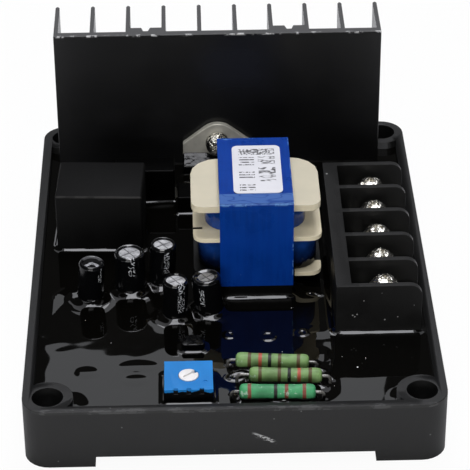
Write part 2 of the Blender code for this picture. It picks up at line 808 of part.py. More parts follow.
def buildCoreTape():
    # One strap from the front foot over the top to the back foot, with its end lapped on top at the front
    inner = coreLength / 2 + seatGap
    outer = inner + tapeThickness
    top = coreTop + seatGap
    foot = fillLevel + tapeStopAboveFill
    radius = tapeCornerRadius
    outside = [(outer, foot)]
    outside += arc((outer - radius, top + tapeThickness - radius), radius, 0, 90, 3)
    outside += arc((-outer + radius, top + tapeThickness - radius), radius, 90, 180, 3)
    outside += [(-outer, foot), (-inner, foot)]
    inside = [(-inner, top), (inner, top), (inner, foot)]
    width = coreStack + 2 * tapeOverhang
    tape = makeOutline("core_tape", [outside + inside], width, (0, 0, 0), "core_tape")
    tape.rotation_euler = (math.radians(90), 0, math.radians(90))
    tape.location = (transformerX - width / 2, coreY, 0)
    lapFront = coreY - outer + radius
    lapBack = coreY + labelForward - labelLength / 2 - seatGap
    lapSize = (width, lapBack - lapFront, 2 * tapeThickness)
    lap = makeBox("tape_lap", lapSize, (transformerX, (lapFront + lapBack) / 2, top))
    cut(tape, lap, "UNION")


def buildLabel():
    outline = roundedRectangle(labelWidth, labelLength, [labelCornerRadius] * 4, 4)
    x = transformerX + labelRight
    y = coreY + labelForward
    top = coreTop + tapeThickness + 2 * seatGap
    makeOutline("transformer_label", [outline], labelThickness, (x, y, top), "label_paper")


def buildTerminalBlock():
    height = fillLevel + blockTopAboveFill - componentBase
    radius = dividerCornerRadius
    outline = [(0, 0), (blockWidth, 0)]
    outline += arc((blockWidth - radius, height - radius), radius, 0, 90, 5)
    outline.append((0, height))
    block = makeOutline("terminal_block", [outline], blockLength, (0, 0, 0), "block_plastic")
    standUp(block, (blockLeft, blockBack, componentBase))

    cellFloor = fillLevel + cellFloorAboveFill
    cellLeft = blockLeft + railWidth
    cellWidth = blockWidth - railWidth
    screwX = cellLeft + cellWidth / 2
    for i in range(cellCount):
        cellY = blockBack - dividerThickness / 2 - cellPitch * (i + 0.5)
        opening = makeBox(
            "cell_%d" % (i + 1),
            (cellWidth * 2, cellPitch - dividerThickness, height),
            (cellLeft + cellWidth, cellY, cellFloor),
        )
        cut(block, opening)
        holeDepth = terminalScrewLength + 2 * screwHoleGap
        hole = makeCylinder(
            "cell_hole_%d" % (i + 1), terminalScrewRadius + screwHoleGap, holeDepth * 2,
            (screwX, cellY, cellFloor - holeDepth), 16,
        )
        cut(block, hole)
        buildTerminal(i + 1, screwX, cellY, cellFloor)
    size = (blockWidth, blockLength, height)
    place = ((blockLeft + blockRight) / 2, blockBack - blockLength / 2, componentBase)
    return [boxPocket("terminal_block", size, place)]


def buildTerminal(number, screwX, cellY, cellFloor):
    hole = makeCylinder(
        "terminal_hole_%d" % number, terminalScrewRadius + screwHoleGap, terminalScrewLength,
        (screwX, cellY, cellFloor - seatGap), 16,
    )
    plateX = blockRight - terminalPlateInset - terminalPlateLength / 2
    plateZ = cellFloor + seatGap
    plate = makeBox(
        "terminal_plate_%d" % number,
        (terminalPlateLength, terminalPlateWidth, terminalPlateThickness),
        (plateX, cellY, plateZ), "plated_steel",
    )
    cut(plate, hole)

    # The wire clamp is a square washer, flat under the screw's head and bent down to its left and right feet
    clampZ = plateZ + terminalPlateThickness + seatGap
    half = clampPlateSize / 2
    crown = clampTopWidth / 2
    shoulder = (half + crown) / 2
    thick = clampPlateThickness
    rise = clampArchRise
    under = [
        (half - clampFootOverhang, 0.0), (shoulder - thick / 2, rise * 0.7), (crown - thick / 4, rise),
    ]
    over = [(crown, rise + thick), (shoulder, rise * 0.7 + thick), (half, thick / 2)]
    leftUnder = [(-x, z) for x, z in reversed(under)]
    leftOver = [(-x, z) for x, z in reversed(over)]
    outline = under + leftUnder + leftOver + over
    clamp = makeOutline("wire_clamp_%d" % number, [outline], clampPlateSize, (0, 0, 0), "plated_steel")
    standUp(clamp, (screwX, cellY + half, clampZ))
    cut(clamp, hole)

    headZ = clampZ + rise + thick + seatGap
    screw = makeTurned(
        "terminal_screw_%d" % number,
        screwProfile(
            terminalHeadRadius, terminalHeadHeight, terminalScrewRadius, terminalScrewLength,
            screwCollarRadius, screwCollarHeight,
        ),
        (screwX, cellY, headZ), "plated_steel", 12,
    )
    for i, perRadius in enumerate((driveSlotPerRadius, crossSlotPerRadius)):
        slot = makeBox(
            "terminal_drive_%d_%d" % (number, i),
            (terminalHeadRadius * perRadius, driveSlotWidth, terminalHeadHeight),
            (screwX, cellY, headZ + screwCollarHeight + terminalHeadHeight - driveSlotDepth),
        )
        slot.rotation_euler[2] = math.radians(screwTurnStep * number + 90 * i)
        cut(screw, slot)


def capacitorPlaces(row, shares, rowEnd):
    # The cans stand from the left wall to the row's end, each after its share of the room that they leave
    free = rowEnd + innerHalfWidth - sum(2 * radius for behind, radius, rise, lean in row)
    places = []
    x = -innerHalfWidth
    for share, (behind, radius, rise, lean) in zip(shares, row):
        x += share * free + radius
        places.append((x, coreFront + behind, radius, rise, lean))
        x += radius
    return places


def buildCapacitors():
    pockets = []
    places = capacitorPlaces(capacitorBackRow, capacitorBackShares, transformerX - flangeWidth / 2)
    places += capacitorPlaces(capacitorFrontRow, capacitorFrontShares, transformerX)
    for number, (x, y, radius, rise, lean) in enumerate(places, 1):
        place = (x, y, fillLevel)
        below = fillLevel - componentBase
        if lean != 0.0:
            below -= radius * math.sin(math.radians(abs(lean)))
        can = makeTurned(
            "capacitor_can_%d" % number, canProfile(radius, rise, below), place, "can_aluminium", 16
        )
        sleeve = makeTurned(
            "capacitor_sleeve_%d" % number, sleeveProfile(radius, rise, below), place, "sleeve_film", 16, True
        )
        for turn in (35, 125):
            grooveSize = (radius * ventLengthPerRadius, ventWidth, ventDepth * 4)
            groove = makeBox("vent_%d_%d" % (number, turn), grooveSize, place)
            groove.rotation_euler = (0, math.radians(lean), math.radians(turn))
            groove.rotation_mode = "ZYX"
            cutAlongLean(groove, place, lean, rise - ventDepth)
            cut(can, groove)
        pocket = makeCylinder(
            "capacitor_%d_pocket" % number, radius + capacitorPocketGap, below + fitGap + rise, place, 16
        )
        lowerMesh(pocket.data, below + fitGap)
        for leaning in (can, sleeve, pocket):
            leaning.rotation_euler[1] = math.radians(lean)
        pockets.append(pocket)
    return pockets


def cutAlongLean(groove, place, lean, distance):
    # Slides a vent groove up the can's leaning axis
    tilt = math.radians(lean)
    groove.location = (
        place[0] + distance * math.sin(tilt), place[1], place[2] + distance * math.cos(tilt)
    )


def lowerMesh(mesh, distance):
    for vertex in mesh.vertices:
        vertex.co.z -= distance


def canProfile(radius, rise, below):
    outer = radius - sleeveThickness - seatGap
    shoulder = canShoulder
    return [
        (0.0, rise), (outer - shoulder, rise), (outer, rise - shoulder), (outer, -below), (0.0, -below),
    ]


def sleeveProfile(radius, rise, below):
    # The film's end is shrunk over the can's shoulder as a narrow lip
    inner = radius - sleeveThickness
    shoulder = canShoulder
    lip = inner - canShoulder - sleeveLip
    top = rise + seatGap
    return [
        (lip, top + sleeveThickness), (radius - shoulder, top + sleeveThickness),
        (radius - shoulder * 0.3, top + sleeveThickness - shoulder * 0.3),
        (radius, top - shoulder), (radius, -below + shoulder), (inner, -below + shoulder),
        (inner, top - shoulder * 0.7), (inner - shoulder * 0.7, top), (lip, top),
    ]


def buildTrimmer():
    top = fillLevel + trimmerTopAboveFill
    bottom = top - trimmerHeight
    middleY = trimmerFront + trimmerSize / 2
    size = (trimmerSize, trimmerSize, trimmerHeight)
    body = makeBox("trimmer_body", size, (trimmerX, middleY, bottom), "trimmer_blue")
    bore = makeCylinder(
        "trimmer_bore", rotorRadius + fitGap, rotorDepth * 2, (trimmerX, middleY, top - rotorDepth - seatGap), 24
    )
    cut(body, bore)
    for i in (-1, 0, 1):
        notch = makeBox(
            "trimmer_notch_%d" % i,
            (trimmerNotchWidth, trimmerNotchDepth * 2, trimmerNotchHeight * 2),
            (trimmerX + i * trimmerPinPitch, trimmerFront, top - trimmerNotchHeight),
        )
        cut(body, notch)
    dot = makeCylinder(
        "trimmer_dot", trimmerDotRadius, trimmerDotDepth * 4,
        (trimmerX + trimmerDotRight, middleY - trimmerDotForward, top - trimmerDotDepth), 10,
    )
    cut(body, dot)

    # The rotor's origin is on its turning axis, at the top of the body
    rotor = makeTurned(
        "trimmer_rotor",
        [
            (0.0, rotorRise), (rotorRadius - rotorRise, rotorRise), (rotorRadius, rotorRise / 2),
            (rotorRadius, -rotorDepth), (0.0, -rotorDepth),
        ],
        (trimmerX, middleY, top), "rotor_white", 20,
    )
    turn = math.radians(rotorSlotAngle)
    for name, length, width, along in (
        ("rotor_slot", rotorRadius * 1.3, rotorSlotWidth, 0.0),
        ("rotor_notch", rotorRadius, rotorNotchWidth, rotorRadius),
    ):
        slot = makeBox(
            name, (length, width, rotorSlotDepth * 2),
            (
                trimmerX + along * math.cos(turn), middleY + along * math.sin(turn),
                top + rotorRise - rotorSlotDepth,
            ),
        )
        slot.rotation_euler[2] = turn
        cut(rotor, slot)
    return [boxPocket("trimmer", size, (trimmerX, middleY, bottom))]


def flatRound(radius, flat):
    # A circle cut by a flat that faces the front
    edge = math.degrees(math.asin(flat / radius))
    return arc((0, 0), radius, -edge, 180 + edge, 14)


def buildSmallTransistor():
    # Between the trimmer's back and the front row of capacitors
    rowFront = coreFront + min(behind - radius for behind, radius, rise, lean in capacitorFrontRow)
    y = trimmerBack + (rowFront - trimmerBack) * smallTransistorShare
    height = fillLevel + smallTransistorTopAboveFill - componentBase
    body = makeOutline(
        "small_transistor", [flatRound(smallTransistorRadius, smallTransistorFlat)], height,
        (smallTransistorX, y, componentBase), "black_epoxy",
    )
    bevel(body, smallTransistorBevel, 2, 60)
    pocketOutline = flatRound(smallTransistorRadius + fitGap, smallTransistorFlat + fitGap)
    pocket = makeOutline(
        "small_transistor_pocket", [pocketOutline], height + fitGap,
        (smallTransistorX, y, componentBase - fitGap),
    )
    return [pocket]


def resistorProfile(length):
    # Half of the coated body from its left end, thicker over the end caps, closed along its bore
    half = length / 2
    cap = length * resistorCapShare
    edgeRadius = (resistorFaceRadius + 3 * resistorEndRadius) / 4
    outer = [
        (resistorFaceRadius, half), (edgeRadius, half - resistorEndRound * 0.3),
        (resistorEndRadius, half - resistorEndRound), (resistorEndRadius, half - cap),
        (resistorRadius, half - cap * 1.5),
    ]
    mirrored = [(radius, -height) for radius, height in reversed(outer)]
    return outer + mirrored + [(resistorBore, -half), (resistorBore, half)]


def leadPath(length, leftReach, rightReach, drop):
    # Down into the compound at both ends, with one short bend at each corner
    half = length / 2
    left = -half - leftReach
    right = half + rightReach
    points = [(left, 0, -drop)]
    points += [(x, 0, z) for x, z in arc((left + leadBend, -leadBend), leadBend, 180, 90, 4)]
    points += [(x, 0, z) for x, z in arc((right - leadBend, -leadBend), leadBend, 90, 0, 4)]
    points.append((right, 0, -drop))
    return points


def buildResistors():
    pockets = []
    axisZ = fillLevel + resistorAxisAboveFill
    drop = axisZ - componentBase
    for number, (x, behind, length, turn, leftReach) in enumerate(resistorPlaces, 1):
        place = (x, frontWallY + behind, axisZ)
        color = "resistor_green" if number == 3 else "resistor_olive"
        body = makeTurned("resistor_body_%d" % number, resistorProfile(length), place, color, 12, True)
        body.rotation_euler = (0, math.radians(90), math.radians(turn))
        points = leadPath(length, leftReach, leadRightReach, drop)
        leads = makeWire("resistor_leads_%d" % number, points, leadRadius, "tinned_metal", place)
        leads.rotation_euler[2] = math.radians(turn)
        for side, reach in ((-1, leftReach), (1, leadRightReach)):
            along = side * (length / 2 + reach)
            angle = math.radians(turn)
            spot = (x + along * math.cos(angle), place[1] + along * math.sin(angle), componentBase - fitGap)
            name = "lead_%d_%d_pocket" % (number, side)
            pockets.append(makeCylinder(name, leadRadius + 2 * fitGap, drop + fitGap, spot, 12))
    return pockets


def buildRegulator():
    clearScene()
    makeMaterials()
    buildTray()
    thyristorFront = heatsinkFrontY - tabThickness - moldThickness - 2 * seatGap
    pockets = buildBoard(thyristorFront - boardEdgeGap)
    pockets += buildHeatsink()
    pockets += buildThyristor()
    pockets += buildRelay()
    pockets += buildBlackBoxes()
    pockets += buildTransformer()
    pockets += buildTerminalBlock()
    pockets += buildCapacitors()
    pockets += buildTrimmer()
    pockets += buildSmallTransistor()
    pockets += buildResistors()
    buildCompound(pockets)


buildRegulator()
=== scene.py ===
import math

import bmesh
import bpy
import numpy as np
from mathutils import Matrix, Vector


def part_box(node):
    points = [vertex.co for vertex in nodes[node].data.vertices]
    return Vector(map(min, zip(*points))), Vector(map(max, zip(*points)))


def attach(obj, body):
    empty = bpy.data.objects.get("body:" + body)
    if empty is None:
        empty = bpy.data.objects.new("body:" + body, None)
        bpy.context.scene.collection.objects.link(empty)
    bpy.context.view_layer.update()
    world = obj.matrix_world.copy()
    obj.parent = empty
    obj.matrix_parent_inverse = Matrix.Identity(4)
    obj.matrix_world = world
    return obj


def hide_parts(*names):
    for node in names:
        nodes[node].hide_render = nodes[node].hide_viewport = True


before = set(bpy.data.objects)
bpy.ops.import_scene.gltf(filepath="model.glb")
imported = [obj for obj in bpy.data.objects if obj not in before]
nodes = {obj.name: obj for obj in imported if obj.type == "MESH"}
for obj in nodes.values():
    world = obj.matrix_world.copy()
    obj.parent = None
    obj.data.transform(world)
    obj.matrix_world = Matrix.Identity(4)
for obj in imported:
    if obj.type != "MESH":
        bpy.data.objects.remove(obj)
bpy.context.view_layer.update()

millimetre = 0.001
print("frame loaded:", len(nodes), "solids")


def turned(x, y, angle):
    # the parts of a place along two axes that are turned by an angle
    c, s = math.cos(angle), math.sin(angle)
    return c * x + s * y, c * y - s * x


def feed(tree, socket, value):
    # a socket takes a value that the shader works out, a plain number, a direction or a colour
    if isinstance(value, nodeValue):
        tree.links.new(value.socket, socket)
    elif socket.type == "RGBA":
        socket.default_value = (*value, 1.0)
    else:
        socket.default_value = value


class nodeValue:
    # a value that the shader works out; arithmetic with it adds nodes, and | keeps the larger of two values
    def __init__(self, tree, socket):
        self.tree, self.socket = tree, socket

    def result(self, operation, *values):
        node = self.tree.nodes.new("ShaderNodeMath")
        node.operation = operation
        for socket, value in zip(node.inputs, values):
            feed(self.tree, socket, value)
        return nodeValue(self.tree, node.outputs[0])

    def __add__(self, other):
        return self.result("ADD", self, other)

    def __sub__(self, other):
        return self.result("SUBTRACT", self, other)

    def __rsub__(self, other):
        return self.result("SUBTRACT", other, self)

    def __mul__(self, other):
        return self.result("MULTIPLY", self, other)

    def __truediv__(self, other):
        return self.result("DIVIDE", self, other)

    def __pow__(self, other):
        return self.result("POWER", self, other)

    def __abs__(self):
        return self.result("ABSOLUTE", self)

    def __lt__(self, other):
        return self.result("LESS_THAN", self, other)

    def __gt__(self, other):
        return self.result("GREATER_THAN", self, other)

    def __or__(self, other):
        return self.result("MAXIMUM", self, other)

    __radd__, __rmul__ = __add__, __mul__

    def fraction(self):
        return self.result("FRACT", self)

    def fade(self, start, end, low=0.0, high=1.0):
        # a soft step from low at the start to high at the end
        node = self.tree.nodes.new("ShaderNodeMapRange")
        node.interpolation_type = "SMOOTHSTEP"
        for socket, value in zip(node.inputs, (self, start, end, low, high)):
            feed(self.tree, socket, value)
        return nodeValue(self.tree, node.outputs[0])

    def near(self, middle, far, close):
        # 1 up to a distance from the middle, fading to 0 at a larger one
        return abs(self - middle).fade(far, close)

    def within(self, low, high):
        return (self > low) * (self < high)


def objectPoint(tree):
    return nodeValue(tree, tree.nodes.new("ShaderNodeTexCoord").outputs["Object"])


groups = {}
evenStretch = (1.0, 1.0, 1.0)
mottleRange = (0.3, 0.7)


class paintedFinish:
    # a material whose colours are laid over one another through masks
    def __init__(self, name, roughness, metallic=0.0, specular=0.5):
        self.material = bpy.data.materials.new(name)
        self.material.use_nodes = True
        self.tree = self.material.node_tree
        self.shader = self.tree.nodes["Principled BSDF"]
        self.put("Roughness", roughness)
        self.put("Metallic", metallic)
        self.put("Specular IOR Level", specular)

    def put(self, socketName, value):
        feed(self.tree, self.shader.inputs[socketName], value)

    def axes(self, kind="Object"):
        # the parts along X, Y and Z of a place on the piece, or of the direction that it faces there
        split = self.tree.nodes.new("ShaderNodeSeparateXYZ")
        self.tree.links.new(self.tree.nodes.new("ShaderNodeTexCoord").outputs[kind], split.inputs[0])
        return [nodeValue(self.tree, socket) for socket in split.outputs]

    def mixed(self, mask, under, over):
        node = self.tree.nodes.new("ShaderNodeMix")
        node.data_type = "RGBA"
        for index, value in ((0, mask), (6, under), (7, over)):
            feed(self.tree, node.inputs[index], value)
        return nodeValue(self.tree, node.outputs[2])

    def start(self, mask, first, second):
        self.color = self.mixed(mask, first, second)
        self.put("Base Color", self.color)

    def lay(self, mask, color):
        self.start(mask, self.color, color)

    def group(self, name, *values):
        node = self.tree.nodes.new("ShaderNodeGroup")
        node.node_tree = groups[name]
        for socket, value in zip(node.inputs, values):
            feed(self.tree, socket, value)
        results = [nodeValue(self.tree, socket) for socket in node.outputs]
        return results[0] if len(results) == 1 else results

    def bump(self, height, distance):
        node = self.tree.nodes.new("ShaderNodeBump")
        for socketName, value in (("Strength", 1.0), ("Distance", distance), ("Height", height)):
            feed(self.tree, node.inputs[socketName], value)
        self.put("Normal", nodeValue(self.tree, node.outputs[0]))


cameraSetup = {
    "place": (-0.007963, -0.403623, 0.277837),
    "pitch": 32.766,  # degrees down
    "yaw": 1.319,  # degrees towards the terminals
    "roll": -0.385,
    "lens": 173.41,
    "nearest": 0.02,
}


def buildCamera():
    pitch, yaw, roll = (math.radians(cameraSetup[key]) for key in ("pitch", "yaw", "roll"))
    forward = Vector((math.sin(yaw) * math.cos(pitch), math.cos(yaw) * math.cos(pitch), -math.sin(pitch)))
    level = Vector((math.cos(yaw), -math.sin(yaw), 0))
    right, up = turned(level, level.cross(forward), roll)
    camera = bpy.data.objects.new("photoCamera", bpy.data.cameras.new("photoCamera"))
    placed = Matrix((right, up, -forward)).transposed().to_4x4()
    placed.translation = cameraSetup["place"]
    camera.matrix_world = placed
    camera.data.lens = cameraSetup["lens"]
    camera.data.clip_start = cameraSetup["nearest"]
    bpy.context.scene.collection.objects.link(camera)
    bpy.context.scene.camera = camera


lampTarget = (0, 0, 0.02)
lamps = {
    "softbox": {"place": (0.02, 0.20, 1.0), "size": (0.42, 0.80), "radiance": 6.2, "color": (0.945, 0.95, 1.0)},
    "halo": {"place": (0.02, 0.42, 1.05), "size": (0.9, 1.1), "radiance": 0.8, "color": (0.94, 0.95, 1.0)},
    "frontFill": {"place": (-0.22, -1.4, 0.26), "size": (1.0, 0.42), "radiance": 4.6, "color": (1.0, 1.0, 1.0)},
    "highFill": {"place": (-0.10, -0.72, 1.15), "size": (0.70, 0.34), "radiance": 6.0, "color": (1.0, 1.0, 1.0)},
    "leftPanel": {"place": (-0.51, 0.98, 0.36), "size": (0.26, 0.26), "radiance": 1.4, "color": (0.94, 0.95, 1.0)},
    "rightPanel": {"place": (0.54, 0.96, 0.36), "size": (0.24, 0.24), "radiance": 1.2, "color": (0.94, 0.95, 1.0)},
}
# pale panels behind the module, which its compound mirrors; each begins at an elevation in degrees
panelDistance, panelWidth, panelShift = 1.5, 0.292, 0.010
panels = {
    "backPanel": {"edgeElevation": 36.65, "height": 0.11, "radiance": 0.94, "color": (0.94, 0.96, 1.0)},
    "upperPanel": {"edgeElevation": 41.3, "height": 0.20, "radiance": 3.6, "color": (0.95, 0.96, 1.0)},
}
studio = {"worldLevel": 0.035, "floorColor": (0.86, 0.86, 0.86), "floorRoughness": 0.9, "floorWhiteShare": 0.95,
          "floorHalf": 3.0, "floorDrop": -0.00002}


def addAreaLamp(name, place, target, size, look):
    lamp = bpy.data.lights.new(name, "AREA")
    lamp.shape = "RECTANGLE"
    lamp.size, lamp.size_y = size
    lamp.color = look["color"]
    lamp.energy = look["radiance"] * math.pi * size[0] * size[1]
    lampObject = bpy.data.objects.new(name, lamp)
    bpy.context.scene.collection.objects.link(lampObject)
    direction = Vector(target) - Vector(place)
    lampObject.location = place
    lampObject.rotation_euler = direction.to_track_quat("-Z", "Y").to_euler()


def buildLights():
    for name, lamp in lamps.items():
        addAreaLamp(name, lamp["place"], lampTarget, lamp["size"], lamp)
    for name, panel in panels.items():
        edge, height = math.radians(panel["edgeElevation"]), panel["height"]
        middle = (
            panelShift,
            panelDistance * math.cos(edge) - height / 2 * math.sin(edge),
            panelDistance * math.sin(edge) + height / 2 * math.cos(edge),
        )
        aim = (panelShift, middle[1] - math.cos(edge), middle[2] - math.sin(edge))
        addAreaLamp(name, middle, aim, (panelWidth, height), panel)


def buildWorld():
    world = bpy.data.worlds.new("studio")
    bpy.context.scene.world = world
    world.use_nodes = True
    background = world.node_tree.nodes["Background"]
    background.inputs["Color"].default_value = (1, 1, 1, 1)
    background.inputs["Strength"].default_value = studio["worldLevel"]
    bpy.context.scene.view_settings.view_transform = "Standard"


def buildFloor():
    half = studio["floorHalf"]
    mesh = bpy.data.meshes.new("floor")
    mesh.from_pydata([(-half, -half, 0), (half, -half, 0), (half, half, 0), (-half, half, 0)], [], [(0, 1, 2, 3)])
    floor = bpy.data.objects.new("floor", mesh)
    bpy.context.scene.collection.objects.link(floor)
    pale = paintedFinish("paleFloor", studio["floorRoughness"], specular=0.0)
    pale.put("Base Color", studio["floorColor"])
    # seen directly it is nearly white, and it keeps a little of its shadow
    tree = pale.tree
    direct = nodeValue(tree, tree.nodes.new("ShaderNodeLightPath").outputs["Is Camera Ray"])
    white = tree.nodes.new("ShaderNodeEmission")
    blend = tree.nodes.new("ShaderNodeMixShader")
    feed(tree, blend.inputs[0], direct * studio["floorWhiteShare"])
    tree.links.new(pale.shader.outputs[0], blend.inputs[1])
    tree.links.new(white.outputs[0], blend.inputs[2])
    tree.links.new(blend.outputs[0], tree.nodes["Material Output"].inputs["Surface"])
    mesh.materials.append(pale.material)
    floor.location.z = studio["floorDrop"]


def newGroup(name, inputs, outputs):
    group = bpy.data.node_groups.new(name, "ShaderNodeTree")
    for socketName, value in inputs.items():
        kind = "NodeSocketVector" if isinstance(value, tuple) else "NodeSocketFloat"
        group.interface.new_socket(socketName, in_out="INPUT", socket_type=kind).default_value = value
    for socketName in outputs:
        group.interface.new_socket(socketName, in_out="OUTPUT", socket_type="NodeSocketFloat")
    start = group.nodes.new("NodeGroupInput")
    end = group.nodes.new("NodeGroupOutput")
    groups[name] = group
    return group, [nodeValue(group, start.outputs[socketName]) for socketName in inputs], end.inputs


def noiseValue(tree, scale, detail, roughness=0.5, stretch=None):
    # noise over the piece's own coordinates, which may be stretched first
    point = objectPoint(tree)
    if stretch:
        node = tree.nodes.new("ShaderNodeVectorMath")
        node.operation = "MULTIPLY"
        for socket, value in zip(node.inputs, (point, stretch)):
            feed(tree, socket, value)
        point = nodeValue(tree, node.outputs[0])
    noise = tree.nodes.new("ShaderNodeTexNoise")
    for socketName, value in (("Vector", point), ("Scale", scale), ("Detail", detail), ("Roughness", roughness)):
        feed(tree, noise.inputs[socketName], value)
    return nodeValue(tree, noise.outputs["Fac"])


def buildGroups():
    # fine moulding grain with slow mottling
    group, (scale, mottleScale), end = newGroup(
        "surfaceGrain", {"Scale": 2500.0, "Mottle Scale": 120.0}, ("Height", "Mottle")
    )
    feed(group, end["Height"], noiseValue(group, scale, 3.0))
    feed(group, end["Mottle"], noiseValue(group, mottleScale, 4.0))

    # sparse small specks of dust: a share of the cells has one, of a size that differs
    group, (scale, share, size), end = newGroup("dustSpecks", {"Cells": 400.0, "Share": 0.03, "Size": 0.20}, ("Mask",))
    cells = group.nodes.new("ShaderNodeTexVoronoi")
    feed(group, cells.inputs["Vector"], objectPoint(group))
    feed(group, cells.inputs["Scale"], scale)
    split = group.nodes.new("ShaderNodeSeparateColor")
    group.links.new(cells.outputs["Color"], split.inputs[0])
    first, second, distance = (
        nodeValue(group, socket) for socket in (split.outputs[0], split.outputs[1], cells.outputs["Distance"])
    )
    feed(group, end["Mask"], (first < share) * (distance < size * second))

    # short scuffs stretched along one direction
    softness = 0.06
    group, (scale, stretch, amount), end = newGroup(
        "scuffs", {"Scale": 300.0, "Stretch": evenStretch, "Amount": 0.3}, ("Mask",)
    )
    limit = 1.0 - amount
    feed(group, end["Mask"], noiseValue(group, scale, 5.0, 0.65, stretch).fade(limit, limit + softness))

    # curly strokes that stand for print, cut out of slow noise
    group, (scale, width, stretch), end = newGroup(
        "curlyMarks", {"Scale": 1200.0, "Width": 0.05, "Stretch": evenStretch}, ("Mask",)
    )
    feed(group, end["Mask"], noiseValue(group, scale, 0.0, stretch=stretch).near(0.5, width, 0.0))


def spotsMask(across, along, spots):
    # small round spots: their place on two axes and their radius in millimetres
    mask = None
    for u, v, radius in spots:
        away = (across - u * millimetre) ** 2.0 + (along - v * millimetre) ** 2.0
        spot = away < (radius * millimetre) ** 2
        mask = mask | spot if mask else spot
    return mask


def grainFinish(name, look):
    # the base finish of the plain pieces: mottled colour, grain, dust and varying gloss
    rough = look["roughness"]
    spread = 0.04
    made = paintedFinish(name, rough, look.get("metallic", 0.0), look.get("specular", 0.5))
    height, mottle = made.group("surfaceGrain", look.get("grainScale", 2500.0), look.get("mottleScale", 150.0))
    made.start(mottle.fade(*mottleRange), look["color"], look.get("second", look["color"]))
    specks = made.group("dustSpecks", look.get("dustCells", 950.0), look.get("dust", 0.02))
    made.lay(specks, look.get("dustColor", (0.30, 0.30, 0.30)))
    made.put("Roughness", mottle.fade(*mottleRange, rough - spread, rough + spread))
    if "bump" in look:
        made.bump(height, look["bump"])
    return made


def finishMesh(shape, mesh, angle=40):
    shape.to_mesh(mesh)
    shape.free()
    mesh.shade_smooth()
    mesh.set_sharp_from_angle(angle=math.radians(angle))


def addPiece(replaced, mesh, made, body="module", place=None):
    # the piece has its mesh's name and stands for one solid
    piece = bpy.data.objects.new(mesh.name, mesh)
    bpy.context.scene.collection.objects.link(piece)
    if place is not None:
        piece.matrix_world = place
    mesh.materials.clear()
    mesh.materials.append(made.material)
    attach(piece, body)
    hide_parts(replaced)
    return piece


def dressNode(name, made, rounding=0.0, segments=2, body="module", angle=35):
    # the solid's own shape with its edges softened
    shape = bmesh.new()
    shape.from_mesh(nodes[name].data)
    bmesh.ops.remove_doubles(shape, verts=shape.verts, dist=0.000002)
    bmesh.ops.dissolve_limit(
        shape, angle_limit=math.radians(0.5), verts=shape.verts, edges=shape.edges, use_dissolve_boundaries=False
    )
    mesh = bpy.data.meshes.new(name + "_dressed")
    finishMesh(shape, mesh, angle)
    piece = addPiece(name, mesh, made, body)
    if rounding > 0.0:
        bevel = piece.modifiers.new("softEdge", "BEVEL")
        bevel.width = rounding
        bevel.segments = segments
        bevel.limit_method = "ANGLE"
        bevel.angle_limit = math.radians(angle)
        bevel.harden_normals = True
    else:
        # large flat faces keep their own direction beside rounded corners
        flatter = piece.modifiers.new("flatFaces", "WEIGHTED_NORMAL")
        flatter.keep_sharp = True


def turnProfile(shape, profile, steps):
    # profile points (radius, height) from the top down the outer side; radius 0 closes the axis
    rings = []
    for radius, height in profile:
        if radius < 1e-9:
            rings.append([shape.verts.new((0, 0, height))])
        else:
            angles = [2 * math.pi * i / steps for i in range(steps)]
            rings.append([shape.verts.new((radius * math.cos(a), radius * math.sin(a), height)) for a in angles])
    for upper, lower in zip(rings, rings[1:]):
        for i in range(steps):
            j = (i + 1) % steps
            corners = [upper[i % len(upper)], lower[i % len(lower)], lower[j % len(lower)], upper[j % len(upper)]]
            unique = list(dict.fromkeys(corners))
            if len(unique) > 2:
                shape.faces.new(unique)


def addTurned(name, profile, steps, made, place, angle=40, change=None):
    # a turned piece in place of a solid; its shape may be changed before it is finished
    shape = bmesh.new()
    turnProfile(shape, profile, steps)
    if change:
        change(shape)
    bmesh.ops.recalc_face_normals(shape, faces=shape.faces)
    mesh = bpy.data.meshes.new(name + "_dressed")
    finishMesh(shape, mesh, angle)
    addPiece(name, mesh, made, place=place)


def roundedProfile(points, radius, steps=4):
    # rounds the inner corners of an open profile
    result = [points[0]]
    for before, corner, after in zip(points, points[1:], points[2:]):
        c = Vector(corner)
        a, b = Vector(before) - c, Vector(after) - c
        reach = min(radius, a.length * 0.45, b.length * 0.45)
        start, end = c + a.normalized() * reach, c + b.normalized() * reach
        for i in range(steps + 1):
            t = i / steps
            result.append(tuple((1 - t) ** 2 * start + 2 * t * (1 - t) * c + t ** 2 * end))
    result.append(points[-1])
    return result


def midpoint(low, high):
    return Vector(((low.x + high.x) / 2, (low.y + high.y) / 2, (low.z + high.z) / 2))


buildCamera()
buildWorld()
buildLights()
buildFloor()
buildGroups()
print("camera, lights, floor and shader groups are ready")


trayLook = {"color": (0.0086, 0.0087, 0.0086), "second": (0.0116, 0.0117, 0.0116), "roughness": 0.52,
            "specular": 0.36, "grainScale": 3000.0, "mottleScale": 90.0, "bump": 0.00002, "dust": 0.012,
            "dustColor": (0.10, 0.10, 0.10)}
# one pale scrape low on the front wall: its middle, its lean, and where it ends and is whole on either side
trayScrape = {"x": 0.0055, "z": 0.0063, "lean": 0.45, "along": (0.0026, 0.0012), "across": (0.0007, 0.0002),
              "front": -0.0546, "color": (0.5, 0.5, 0.5)}
# painted highlight: the front edge of the rim is painted paler, more so in worn specks
trayRimHighlight = {"height": 0.0006, "over": 0.0001, "front": -0.0540, "color": (0.058, 0.058, 0.058)}


